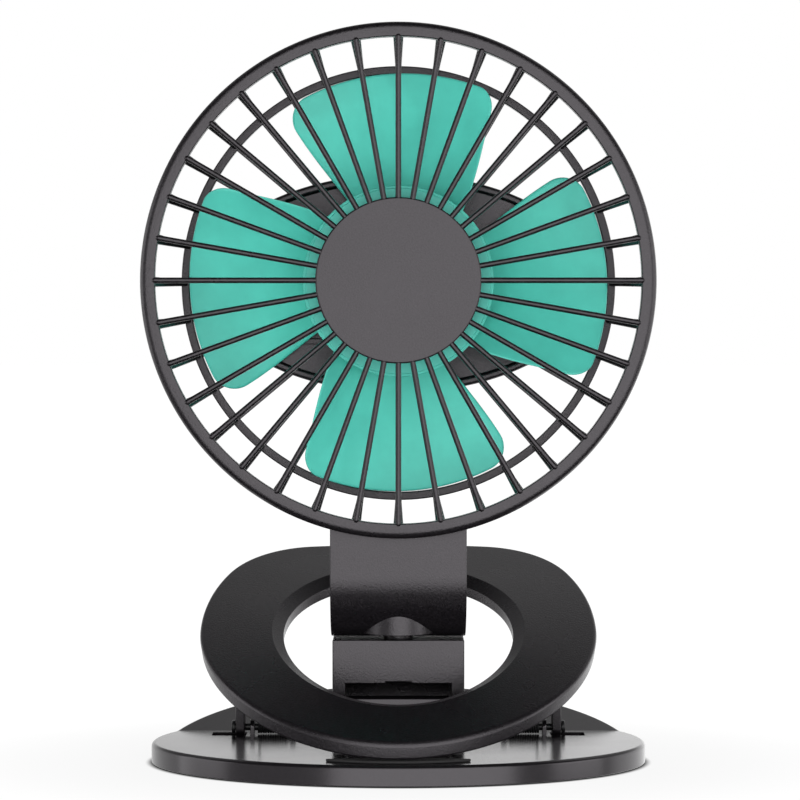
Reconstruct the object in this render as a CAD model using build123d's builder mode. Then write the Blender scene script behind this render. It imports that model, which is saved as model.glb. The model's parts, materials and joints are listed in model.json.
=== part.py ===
from build123d import *
import math
import os

# Clip fan. Millimetres, +Z up, the front faces -Y. The origin is on the floor under the base's middle.

# ---- driving dimensions ----
# base
base_half_width = 73.6
base_front_depth = 53.0      # half-depth of the outline in front of the middle
base_rear_depth = 57.0       # and behind it
base_top = 6.1               # height of the flat top face
base_edge_round = 1.2
crease_round = 3.0
base_wall = 1.8
foot_height = 0.25           # rubber feet standing proud of the underside
foot_radius = 5.0
foot_recess = 0.8
crease_y = 21.0              # where the top turns up into the finger panel
panel_rise = 15.5            # degrees
panel_thickness = 3.8
panel_root_y = 17.5          # where the panel's underside leaves the floor
cover_thickness = 1.5
ballast_thickness = 1.8
ballast_side_inset = 19.6
ballast_front_inset = 7.0
ballast_half_depth = 34.0
ballast_rear_gap = 1.0
ballast_post_gap = 0.8
base_screw_inset = 9.5       # the cover's screws stand this far inside the front outline
base_screw_angles = (-4.0, 60.0, 120.0, 184.0)
base_screw_radius = 0.9
base_screw_head = 1.9        # radius
base_screw_head_height = 0.8
base_screw_length = 3.6
base_post_radius = 2.6
middle_foot = (16.0, 8.0)    # half-sizes of the oval pad in the middle
front_foot_inset = 12.0
front_foot_angle = 35.7
rear_foot_inset = 21.6
rear_foot_margin = 1.7

# jaw
jaw_half_width = 59.3
jaw_half_depth = 50.0
jaw_corner_radius = 31.0     # of the outline's two rear corners
jaw_side_crown = 3.9         # how far the sides bulge out past the corners
jaw_rear_crown = 1.2         # and the rear edge
jaw_thickness = 4.5
jaw_front_z = 11.9           # top face at the front, the middle and the rear
jaw_middle_z = 40.1
jaw_rear_z = 61.6
jaw_hole_half_width = 34.2
jaw_hole_half_depth = 31.95
jaw_hole_y = -0.25
jaw_hole_bevel_width = 3.5
jaw_hole_bevel_depth = 1.7
jaw_edge_round = 1.0
hinge_y = 14.0
hinge_rise = 2.2             # of the hinge above the base's top
ear_inset = 12.8             # of the posts' inner faces from the jaw's sides
ear_thickness = 2.7
ear_radius = 3.4
ear_top_front_y = 3.0
ear_top_rear_y = 25.0
hinge_pin_radius = 1.1
hinge_lug_radius = 2.3
ear_shoulder = 12.0          # height at which a post begins to widen, above the hinge
inner_lug_thickness = 1.7
outer_lug_thickness = 1.3
lug_spacing = 10.7           # room for the spring between a pair of lugs
lug_to_ear = 1.6
pin_head_thickness = 1.1
pin_head_radius = 2.0
pin_head_gap = 0.3           # between a post and its pin's head
pin_stub = 0.2               # length of a pin beyond its inner lug
slot_side_room = 7.3         # the base's slot runs on past the post, for the pin's head
slot_room = 0.4
spring_wire = 0.8
spring_end_gap = 0.3         # between the coil's ends and the lugs
spring_swell = 0.05          # how much thicker the coil's sleeve is than the wire, on each side
spring_leg = 11.0
spring_leg_radius = 0.32
spring_hook_reach = 6.1      # the hooked leg's bend, behind and above the hinge
spring_hook_rise = 7.0
spring_hook_inset = 0.6      # of the hook's end from the post's outer face
spring_bend = 1.2
grip_pad_half_width = 20.5
grip_pad_front_inset = 1.0   # measured from the jaw's front edge
grip_pad_corner_inset = 6.0
grip_pad_rear_inset = 8.5
grip_pad_thickness = 0.8
jaw_pad_half_width = 18.0
jaw_pad_front_inset = 4.0
jaw_pad_rear_inset = 13.0

# tilt joint
knuckle_radius = 6.4
knuckle_clearance = 0.5      # between the bracket's swing and the base's top
tilt_pin_radius = 1.5
bracket_half_width = 19.53
bracket_cheek = 3.78
washer_room = 0.65           # on each side of the knuckle
bolt_head_radius = 3.0
bolt_head_height = 1.7
bolt_socket_radius = 1.3
bolt_socket_depth = 0.9
bolt_recess_radius = 3.5
bolt_recess_depth = 1.9
bolt_end_inset = 0.4         # of the bolt's end from the cheek's face
washer_inset = 1.0           # of the washers' edge from the knuckle's
nut_radius = 3.1
bracket_front_y = -8.3
bracket_rear_y = 13.0
bracket_top = 36.9
bracket_plate = 3.8
bracket_web = 2.0            # thickness of the wall behind
bracket_window_top = 24.0
bracket_corner_round = 0.8
notch_half_width = 4.0
notch_height = 1.2

# swivel
swivel_y = 1.0
swivel_gap = 0.4
neck_radius = 4.5
boss_radius = 14.0
boss_height = 8.7
swivel_screw_radius = 1.5
swivel_screw_head = 3.0      # radius
swivel_screw_head_height = 2.0
swivel_screw_round = 0.6
swivel_screw_inset = 0.3     # of the screw's end from the plate's underside
swivel_slot_depth = 1.2
swivel_washer_radius = 7.0
swivel_washer_thickness = 0.8

# arm
arm_half_width = 20.0
arm_thickness = 4.0
arm_front_y = -18.0
arm_bend_radius = 19.5
arm_foot_rear_y = 15.0
arm_edge_round = 0.5
strap_rise = 11.0            # from the bend's top to the rim
saddle_thickness = 3.2
arm_screw_x = 12.0
arm_screw_inset = 2.5        # from the saddle's rear edge
arm_screw_radius = 1.0
arm_screw_head = 2.1         # radius
arm_screw_head_height = 1.5
arm_screw_length = 5.2
arm_screw_room = 0.2         # round the screws and their heads
arm_screw_recess = 0.4       # how deep the heads' seats are cut at their shallow side

# head
head_radius = 75.0
head_front_y = -24.0
rim_width = 4.4
rim_cover_depth = 3.5
rim_round = 2.0
band_wall = 2.0
band_rear_y = -8.9
spoke_count = 36
spoke_radius = 0.72
spoke_proud = 0.5             # how far the spokes stand in front of the rim
spoke_lap = 0.5               # how far a spoke's tip lies over the rim
disc_radius = 24.1
disc_thickness = 3.0
disc_proud = 0.8
disc_edge_round = 0.5
catch_count = 6
catch_thickness = 1.4
catch_width = 8.0
catch_length = 2.5
rear_ring_inset = 12.1        # of the ring's inner edge from the rim
rear_ring_width = 2.5
rear_ring_front_y = 9.5
rear_ring_depth = 2.8
rib_inset = 0.3               # of the ribs' outer line from the band's face
rib_lap = 0.5                 # how far the ribs run into the rear ring
rib_half_width_ring = 0.85
rib_half_width_rim = 1.8
rear_spoke_width = 1.5
rear_spoke_depth = 2.0
rear_spoke_inset = 0.4        # behind the ring's front face
seat_block = (6.0, 5.0, 4.0)  # thickened seat in the band for each of the arm's screws
seat_inset = 0.5              # of the seats' underside from the band's face

# motor pod
pod_side_inset = 3.9          # of the pod's ends from the rear ring
pod_half_height = 33.0
pod_lip_y = 9.4
pod_lip_width = 2.4
pod_lip_height = 1.5
pod_plate = 1.6
pod_wall = 1.8
pod_seam_y = 20.0
pod_rear_y = 38.0
pod_round = 6.0
pod_screw_inset = 10.0
pod_screw_radius = 1.15
pod_screw_head = 2.3          # radius
pod_screw_head_height = 1.5
pod_screw_length = 9.0
pod_screw_hole = 14.0         # depth of the screws' holes from the pod's back
pod_screw_room = 0.2
pod_post_radius = 2.8
pod_boss_radius = 3.6
pod_boss_height = 1.9
pod_bar_place = (27.5, -17.5)
pod_bar_length = 9.5
pod_bar_width = 1.8
pod_bar_height = 1.0

# impeller
hub_radius = 28.0
hub_front_y = -16.0
hub_rear_y = 5.5
hub_wall = 1.6
hub_step = 0.8
hub_bore_radius = 3.4
hub_bore_rear_y = 2.0
blade_tip_gap = 0.8          # between the tips and the rear ring's inner edge, seen from the front
blade_count = 4
blade_pitches = (33.0, 27.0, 21.5, 17.5, 15.0)   # degrees, from the root to past the tip
blade_thickness = 1.3
blade_middle_y = -5.5
blade_inner_reach = 10.0     # how far the first station lies inside the hub's face
blade_outer_reach = 4.7      # and the last one beyond the tips
blade_root_half_chord = 20.0  # half-width of a blade's stock at the axis, its growth outwards, its limit
blade_chord_growth = 0.45
blade_max_half_chord = 42.0
blade_camber = 0.07          # of the chord
blade_round_left = 7.4       # corners at the tip
blade_round_right = 6.0
shaft_radius = 1.0
shaft_front_gap = 0.4        # between the shaft's end and the hub's front wall

# works inside the pod
motor_radius = 12.0
motor_length = 14.0
motor_boss_radius = 4.0
motor_boss_height = 1.6
motor_boss_seat = 2.0        # of the boss's foot from the motor's rear end
motor_collar_radius = 3.0
motor_collar_room = 0.2
motor_back_round = 1.0
motor_screw_depth = 3.4
motor_thread_depth = 4.0
shaft_rear_inset = 1.0
motor_screw_x = 8.0
motor_screw_radius = 1.0
motor_screw_head = 1.9       # radius
motor_screw_head_height = 1.2
board_inset = 9.4            # of the board's front face from the pod's back
board_thickness = 1.6
board_left_x = -11.5
board_right_inset = 17.0
board_half_height = 12.0
cell_side_inset = 13.0
cell_right_x = -17.0
cell_half_height = 13.5
cell_front_gap = 1.5
cell_thickness = 10.0
cell_round = 2.5
lead_radius = 0.4
motor_lead_height = 7.0
battery_lead_height = 4.0
lead_bend = 1.8
switch_width = 6.0
switch_height = 2.2
plunger_radius = 1.6
plunger_height = 0.6
button_radius = 5.0
button_travel = 0.6
button_proud = 0.9
button_flange = 0.9
button_round = 0.5
socket_inset = 27.0          # of the socket from the pod's right end
socket_length = 9.0
socket_width = 3.3
socket_wall = 0.3
socket_room = 0.2
socket_mouth_inset = 0.4     # of its mouth from the pod's back
socket_bore = 6.0
socket_tongue = (0.7, 6.6)   # the contact tongue's thickness and width
socket_tongue_inset = 1.0    # of its two ends from the socket's
led_x = 11.0
led_radius = 1.5
led_proud = 0.2
led_chip = (3.0, 2.0, 1.5)   # the lamp's body on the board

# clearances
running_gap = 0.05           # a shaft turning in its bore
slip_gap = 0.1               # a part sliding in its guide
seat_gap = 0.15              # a cover lying in its recess
cage_gap = 0.1               # between the two halves of the rim
cross_slot_width = 0.7       # of a screwdriver's slots
base_screw_depth = 3.2       # of the screws' holes in their posts
overcut = 30.0               # how far a cut runs past what it cuts

# ---- derived values ----
hinge_z = base_top + hinge_rise
ear_inner_x = jaw_half_width - ear_inset
ear_outer_x = ear_inner_x + ear_thickness
hinge_lug_outer = (ear_inner_x - lug_to_ear - outer_lug_thickness, ear_inner_x - lug_to_ear)
hinge_lug_inner = (hinge_lug_outer[0] - lug_spacing - inner_lug_thickness, hinge_lug_outer[0] - lug_spacing)
cover_top = foot_height + cover_thickness
cavity_rear_y = panel_root_y - base_wall
ballast_y = ballast_front_inset + ballast_half_depth - base_front_depth
tilt_z = base_top + knuckle_radius + knuckle_clearance
bracket_window = bracket_half_width - bracket_cheek
bracket_ear_radius = knuckle_radius - 0.2
bracket_shoulder = bracket_top - bracket_plate - 2   # height at which the rear begins to slope in
knuckle_half_length = bracket_window - washer_room
arm_bottom = bracket_top + swivel_gap
arm_bend_z = arm_bottom + arm_bend_radius
arm_bend_y = arm_front_y + arm_bend_radius
boss_top = arm_bottom + boss_height
head_z = arm_bend_z + strap_rise + head_radius
head_axis = Axis((0, 0, head_z), (0, 1, 0))
rim_inner_radius = head_radius - rim_width
spoke_tip_radius = rim_inner_radius + spoke_lap
rim_seam_y = head_front_y + rim_cover_depth
saddle_rear_y = band_rear_y
arm_screw_places = [(side * arm_screw_x, saddle_rear_y - arm_screw_inset) for side in (-1, 1)]
rear_ring_inner = head_radius - rear_ring_inset
rear_ring_outer = rear_ring_inner + rear_ring_width
rear_ring_rear_y = rear_ring_front_y + rear_ring_depth
blade_tip_radius = rear_ring_inner - blade_tip_gap
blade_root_radius = hub_radius - 1.5
pod_half_width = rear_ring_inner - pod_side_inset
pod_plate_y = pod_lip_y + pod_lip_height
motor_front = pod_plate_y + pod_plate
pod_screw_x = pod_half_width - pod_screw_inset
pod_screw_z = pod_half_height - pod_screw_inset
pod_screw_places = [(-pod_screw_x, 0), (pod_screw_x, 0), (0, -pod_screw_z), (0, pod_screw_z)]
pod_screw_seat_y = pod_rear_y - pod_wall
motor_screw_places = [(-motor_screw_x, 0), (motor_screw_x, 0)]
board_y = pod_rear_y - board_inset
board_rear_y = board_y + board_thickness
board_x = (board_left_x, pod_half_width - board_right_inset)
cell_x = (cell_side_inset - pod_half_width, cell_right_x)
cell_y = (motor_front + cell_front_gap, motor_front + cell_front_gap + cell_thickness)
socket_x = pod_half_width - socket_inset


def front_plane(y):
    """Upright plane at depth y, seen from the front, centred on the head's axis."""
    return Plane(origin=(0, y, head_z), x_dir=(1, 0, 0), z_dir=(0, -1, 0))


def head_section():
    """Plane through the head's axis: across is depth, up is the radius."""
    return Plane(origin=(0, 0, head_z), x_dir=(0, 1, 0), z_dir=(1, 0, 0))


def side_plane(x):
    """Upright plane across the object at x: across is depth, up is height."""
    return Plane(origin=(x, 0, 0), x_dir=(0, 1, 0), z_dir=(1, 0, 0))


def write(part, name):
    os.makedirs("parts", exist_ok=True)
    part.label = name
    export_step(part, f"parts/{name}.step")


def rim_edges(builder):
    """Edges between the faces that look up and the upright faces round them."""
    upright = builder.faces().filter_by(lambda f: abs(f.normal_at().Z) < 0.05)
    wall_edges = upright.edges()
    upper = builder.faces().filter_by(lambda f: f.normal_at().Z > 0.5)
    return ShapeList(e for e in upper.edges() if any(e.is_same(w) for w in wall_edges))


def base_outline(inset):
    """Plan outline: half an oval in front and a deeper half behind, drawn in by the inset."""
    with BuildSketch() as outline:
        with BuildLine():
            EllipticalCenterArc((0, 0), base_half_width - inset, base_rear_depth - inset, 0, arc_size=180)
            EllipticalCenterArc((0, 0), base_half_width - inset, base_front_depth - inset, 180, arc_size=180)
        make_face()
    return outline.sketch


def cavity_outline(inset):
    """The underside's recess: the outline drawn in, ending where the finger panel begins."""
    with BuildSketch() as outline:
        add(base_outline(base_wall + inset))
        with Locations((0, cavity_rear_y - inset)):
            Rectangle(4 * base_half_width, 4 * base_rear_depth, align=(Align.CENTER, Align.MIN),
                      mode=Mode.SUBTRACT)
    return outline.sketch


def outline_point(degrees, inset):
    """A point inside the front half of the outline, counted round from its right-hand end."""
    angle = math.radians(degrees)
    return (base_half_width - inset) * math.cos(angle), (inset - base_front_depth) * math.sin(angle)


base_screw_places = [outline_point(angle, base_screw_inset) for angle in base_screw_angles]
rear_foot_x = base_half_width - rear_foot_inset
rear_foot_y = cavity_rear_y - foot_radius - rear_foot_margin
foot_places = [outline_point(front_foot_angle, front_foot_inset),
               outline_point(180 - front_foot_angle, front_foot_inset),
               (rear_foot_x, rear_foot_y), (-rear_foot_x, rear_foot_y)]


def circle_through(first, second, third):
    """Centre and radius of the circle through three points."""
    (ax, ay), (bx, by), (cx, cy) = first, second, third
    d = 2 * (ax * (by - cy) + bx * (cy - ay) + cx * (ay - by))
    a2, b2, c2 = ax**2 + ay**2, bx**2 + by**2, cx**2 + cy**2
    x = (a2 * (by - cy) + b2 * (cy - ay) + c2 * (ay - by)) / d
    y = (a2 * (cx - bx) + b2 * (ax - cx) + c2 * (bx - ax)) / d
    return x, y, math.hypot(ax - x, ay - y)


jaw_arc_y, jaw_arc_z, jaw_arc_radius = circle_through(
    (-jaw_half_depth, jaw_front_z), (0, jaw_middle_z), (jaw_half_depth, jaw_rear_z))


def jaw_z(y, depth=0.0):
    """Height of the jaw's curved face at y, or of a face lying that depth under it."""
    return jaw_arc_z + math.sqrt((jaw_arc_radius - depth) ** 2 - (y - jaw_arc_y) ** 2)


def jaw_slab(front, rear, top, bottom):
    """Side profile between two faces parallel to the jaw's curved top."""
    middle = (front + rear) / 2
    with BuildSketch(side_plane(0)) as slab:
        with BuildLine():
            ThreePointArc((front, jaw_z(front, top)), (middle, jaw_z(middle, top)), (rear, jaw_z(rear, top)))
            Line((rear, jaw_z(rear, top)), (rear, jaw_z(rear, bottom)))
            ThreePointArc((rear, jaw_z(rear, bottom)), (middle, jaw_z(middle, bottom)),
                          (front, jaw_z(front, bottom)))
            Line((front, jaw_z(front, bottom)), (front, jaw_z(front, top)))
        make_face()
    return slab.sketch


def jaw_outline():
    """Plan outline: half an oval in front; behind it crowned sides and a crowned rear with round corners."""
    corner_x = jaw_half_width - jaw_side_crown - jaw_corner_radius
    corner_y = jaw_half_depth - jaw_rear_crown - jaw_corner_radius
    # how much larger the radius of each crowned stretch is than the corner's
    side_excess = (jaw_side_crown**2 + corner_y**2) / (2 * jaw_side_crown)
    rear_excess = (jaw_rear_crown**2 + corner_x**2) / (2 * jaw_rear_crown)
    side_x = corner_x + jaw_corner_radius * (1 - jaw_side_crown / side_excess)
    side_y = corner_y + jaw_corner_radius * corner_y / side_excess
    rear_x = corner_x + jaw_corner_radius * corner_x / rear_excess
    rear_y = corner_y + jaw_corner_radius * (1 - jaw_rear_crown / rear_excess)
    with BuildSketch() as outline:
        with BuildLine():
            EllipticalCenterArc((0, 0), jaw_half_width, jaw_half_depth, 180, arc_size=180)
            for side in (-1, 1):
                flank = TangentArc((side * jaw_half_width, 0), (side * side_x, side_y), tangent=(0, 1))
                TangentArc((side * side_x, side_y), (side * rear_x, rear_y), tangent=flank % 1)
            ThreePointArc((-rear_x, rear_y), (0, jaw_half_depth), (rear_x, rear_y))
        make_face()
    return outline.sketch


# ---- base plate ----
with BuildPart() as base_plate:
    rise = math.tan(math.radians(panel_rise))
    panel_top = base_top + (base_rear_depth - crease_y) * rise
    overrun = 5.0
    end_top = panel_top + overrun * rise
    with BuildSketch(side_plane(0)):
        with BuildLine():
            Line((-base_front_depth - overrun, foot_height), (-base_front_depth - overrun, base_top))
            FilletPolyline((-base_front_depth - overrun, base_top), (crease_y, base_top),
                           (base_rear_depth + overrun, end_top), radius=crease_round)
            Polyline((base_rear_depth + overrun, end_top),
                     (base_rear_depth + overrun, end_top - panel_thickness),
                     (panel_root_y, foot_height), (-base_front_depth - overrun, foot_height))
        make_face()
    extrude(amount=base_half_width + overrun, both=True)
    with BuildSketch():
        add(base_outline(0))
    extrude(amount=2 * end_top, mode=Mode.INTERSECT)
    fillet(rim_edges(base_plate), base_edge_round)
    # recess for the ballast and the cover
    with BuildSketch(Plane.XY.offset(foot_height)):
        add(cavity_outline(0))
    extrude(amount=base_top - base_wall - foot_height, mode=Mode.SUBTRACT)
    # posts for the cover's screws
    with BuildSketch(Plane.XY.offset(cover_top)):
        with Locations(*base_screw_places):
            Circle(base_post_radius)
    extrude(amount=base_top - base_wall - cover_top)
    with BuildSketch(Plane.XY.offset(cover_top)):
        with Locations(*base_screw_places):
            Circle(base_screw_radius)
    extrude(amount=base_screw_depth, mode=Mode.SUBTRACT)
    # knuckle of the tilt joint
    with BuildSketch(side_plane(-knuckle_half_length)):
        with Locations((0, tilt_z)):
            Circle(knuckle_radius)
        with Locations((0, base_top - base_wall / 2)):
            Rectangle(2 * knuckle_radius, tilt_z - base_top + base_wall / 2, align=(Align.CENTER, Align.MIN))
    extrude(amount=2 * knuckle_half_length)
    with BuildSketch(side_plane(-knuckle_half_length)):
        with Locations((0, tilt_z)):
            Circle(tilt_pin_radius + running_gap)
    extrude(amount=2 * knuckle_half_length, mode=Mode.SUBTRACT)
    # slots that the jaw's posts reach into, and the lugs of the jaw hinge
    for side in (-1, 1):
        slot_inner = ear_inner_x - slot_room
        slot_outer = ear_outer_x + slot_side_room
        with BuildSketch(Plane.XY.offset(hinge_z - ear_radius - slot_room)):
            with Locations((side * (slot_inner + slot_outer) / 2, hinge_y)):
                Rectangle(slot_outer - slot_inner, 2 * (ear_radius + slot_room))
        extrude(amount=base_top, mode=Mode.SUBTRACT)
        for low, high in (hinge_lug_inner, hinge_lug_outer):
            with BuildSketch(side_plane(side * low)):
                with Locations((hinge_y, hinge_z)):
                    Circle(hinge_lug_radius)
                with Locations((hinge_y, base_top - base_wall / 2)):
                    Rectangle(2 * hinge_lug_radius, hinge_z - base_top + base_wall / 2,
                              align=(Align.CENTER, Align.MIN))
                with Locations((hinge_y, hinge_z)):
                    Circle(hinge_pin_radius, mode=Mode.SUBTRACT)
            extrude(amount=side * (high - low))
write(base_plate.part, "base_plate")

# ---- bottom cover ----
with BuildPart() as bottom_cover:
    with BuildSketch(Plane.XY.offset(foot_height)):
        add(cavity_outline(seat_gap))
    extrude(amount=cover_thickness)
    with BuildSketch(Plane.XY.offset(foot_height)):
        with Locations(*foot_places):
            Circle(foot_radius + slip_gap)
        Ellipse(middle_foot[0] + slip_gap, middle_foot[1] + slip_gap)
    extrude(amount=foot_recess, mode=Mode.SUBTRACT)
    with BuildSketch(Plane.XY.offset(foot_height)):
        with Locations(*base_screw_places):
            Circle(base_screw_head + slip_gap)
    extrude(amount=base_screw_head_height + slip_gap, mode=Mode.SUBTRACT)
    with BuildSketch(Plane.XY.offset(foot_height)):
        with Locations(*base_screw_places):
            Circle(base_screw_radius + slip_gap)
    extrude(amount=cover_thickness, mode=Mode.SUBTRACT)
write(bottom_cover.part, "bottom_cover")

# ---- ballast ----
with BuildPart() as ballast_plate:
    with BuildSketch(Plane.XY.offset(cover_top + slip_gap)):
        with Locations((0, ballast_y)):
            Ellipse(base_half_width - ballast_side_inset, ballast_half_depth)
        with Locations((0, cavity_rear_y - ballast_rear_gap)):
            Rectangle(4 * base_half_width, base_rear_depth, align=(Align.CENTER, Align.MIN),
                      mode=Mode.SUBTRACT)
        with Locations(*base_screw_places):
            Circle(base_post_radius + ballast_post_gap, mode=Mode.SUBTRACT)
    extrude(amount=ballast_thickness)
write(ballast_plate.part, "ballast_plate")

# ---- screws of the bottom cover ----
with BuildPart() as base_screws:
    with BuildSketch(Plane.XY.offset(foot_height + slip_gap)):
        with Locations(*base_screw_places):
            Circle(base_screw_head)
    extrude(amount=base_screw_head_height)
    with BuildSketch(Plane.XY.offset(foot_height + slip_gap + base_screw_head_height)):
        with Locations(*base_screw_places):
            Circle(base_screw_radius)
    extrude(amount=base_screw_length)
write(base_screws.part, "base_screws")

# ---- feet ----
with BuildPart() as foot_pads:
    with BuildSketch():
        with Locations(*foot_places):
            Circle(foot_radius)
        Ellipse(*middle_foot)
    extrude(amount=foot_height + foot_recess)
write(foot_pads.part, "foot_pads")

# ---- grip pad on the base, under the jaw's front edge ----
with BuildPart() as base_grip_pad:
    pad_corner_y = grip_pad_corner_inset - jaw_half_depth
    with BuildSketch(Plane.XY.offset(base_top)):
        with BuildLine():
            ThreePointArc((-grip_pad_half_width, pad_corner_y), (0, grip_pad_front_inset - jaw_half_depth),
                          (grip_pad_half_width, pad_corner_y))
            ThreePointArc((grip_pad_half_width, pad_corner_y), (0, grip_pad_rear_inset - jaw_half_depth),
                          (-grip_pad_half_width, pad_corner_y))
        make_face()
    extrude(amount=grip_pad_thickness)
write(base_grip_pad.part, "base_grip_pad")

# ---- ring jaw ----
with BuildPart() as ring_jaw:
    reach = jaw_half_depth + 1
    add(extrude(jaw_slab(-reach, reach, 0, jaw_thickness), amount=jaw_half_width + 1, both=True))
    with BuildSketch():
        add(jaw_outline())
        with Locations((0, jaw_hole_y)):
            Ellipse(jaw_hole_half_width, jaw_hole_half_depth, mode=Mode.SUBTRACT)
    extrude(amount=jaw_rear_z + jaw_thickness, mode=Mode.INTERSECT)
    top_face = ring_jaw.faces().filter_by(lambda f: f.normal_at().Z > 0.5)[0]
    bevel_edges = top_face.inner_wires()[0].edges()
    chamfer(bevel_edges, length=jaw_hole_bevel_width, length2=jaw_hole_bevel_depth, reference=top_face)
    broad_faces = ring_jaw.faces().filter_by(lambda f: abs(f.normal_at().Z) > 0.5).sort_by(SortBy.AREA)[-2:]
    fillet([edge for face in broad_faces for edge in face.outer_wire().edges()], jaw_edge_round)
    # posts down to the hinge
    for side in (-1, 1):
        with BuildSketch(side_plane(side * ear_inner_x)):
            with Locations((hinge_y, hinge_z)):
                Circle(ear_radius)
            with BuildLine():
                Polyline((ear_top_front_y, jaw_z(ear_top_front_y, jaw_thickness / 2)),
                         (ear_top_rear_y, jaw_z(ear_top_rear_y, jaw_thickness / 2)),
                         (hinge_y, hinge_z + ear_shoulder), close=True)
            make_face()
            make_hull()
            with Locations((hinge_y, hinge_z)):
                Circle(hinge_pin_radius + running_gap, mode=Mode.SUBTRACT)
        extrude(amount=side * ear_thickness)
write(ring_jaw.part, "ring_jaw")

# ---- grip pad under the jaw's front edge ----
with BuildPart() as jaw_grip_pad:
    pad_profile = jaw_slab(jaw_pad_front_inset - jaw_half_depth, jaw_pad_rear_inset - jaw_half_depth,
                           jaw_thickness, jaw_thickness + grip_pad_thickness)
    add(extrude(pad_profile, amount=jaw_pad_half_width, both=True))
write(jaw_grip_pad.part, "jaw_grip_pad")

# ---- jaw hinge pins: a headed pin on each side, held in the base's lugs ----
with BuildPart() as jaw_pins:
    for side in (-1, 1):
        with BuildSketch(side_plane(side * (hinge_lug_inner[0] - pin_stub))):
            with Locations((hinge_y, hinge_z)):
                Circle(hinge_pin_radius)
        pin_reach = ear_outer_x + pin_head_gap + pin_head_thickness
        extrude(amount=side * (pin_reach - hinge_lug_inner[0] + pin_stub))
        with BuildSketch(side_plane(side * (ear_outer_x + pin_head_gap))):
            with Locations((hinge_y, hinge_z)):
                Circle(pin_head_radius)
        extrude(amount=side * pin_head_thickness)
write(jaw_pins.part, "jaw_pins")


def jaw_spring(side):
    """Close-wound coil round the hinge pin, one leg along the base, one hooked behind the post."""
    low = hinge_lug_inner[1] + spring_end_gap
    turns = int((hinge_lug_outer[0] - spring_end_gap - low) / spring_wire)
    inner = hinge_pin_radius + seat_gap
    middle = inner + spring_wire / 2
    base_leg_x = side * (low + spring_wire / 2)
    jaw_leg_x = side * (low + (turns - 0.5) * spring_wire)
    hook_y = hinge_y + spring_hook_reach
    hook_z = hinge_z + spring_hook_rise
    with BuildPart() as spring:
        with BuildSketch(side_plane(side * low)):
            with Locations((hinge_y, hinge_z)):
                Circle(middle + spring_wire / 2 + spring_swell)
                Circle(middle - spring_wire / 2 - spring_swell, mode=Mode.SUBTRACT)
        extrude(amount=side * turns * spring_wire)
        with BuildSketch(Plane(origin=(base_leg_x, hinge_y, hinge_z - middle), z_dir=(0, -1, 0))):
            Circle(spring_leg_radius)
        extrude(amount=spring_leg)
        with BuildLine():
            FilletPolyline((jaw_leg_x, hinge_y + middle, hinge_z), (jaw_leg_x, hook_y, hook_z),
                           (side * (ear_outer_x - spring_hook_inset), hook_y, hook_z), radius=spring_bend)
        with BuildSketch(Plane(origin=(jaw_leg_x, hinge_y + middle, hinge_z),
                               z_dir=(0, hook_y - hinge_y - middle, hook_z - hinge_z))):
            Circle(spring_leg_radius)
        sweep()
    return spring.part


# ---- jaw springs ----
write(jaw_spring(-1), "jaw_spring_left")
write(jaw_spring(1), "jaw_spring_right")

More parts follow.
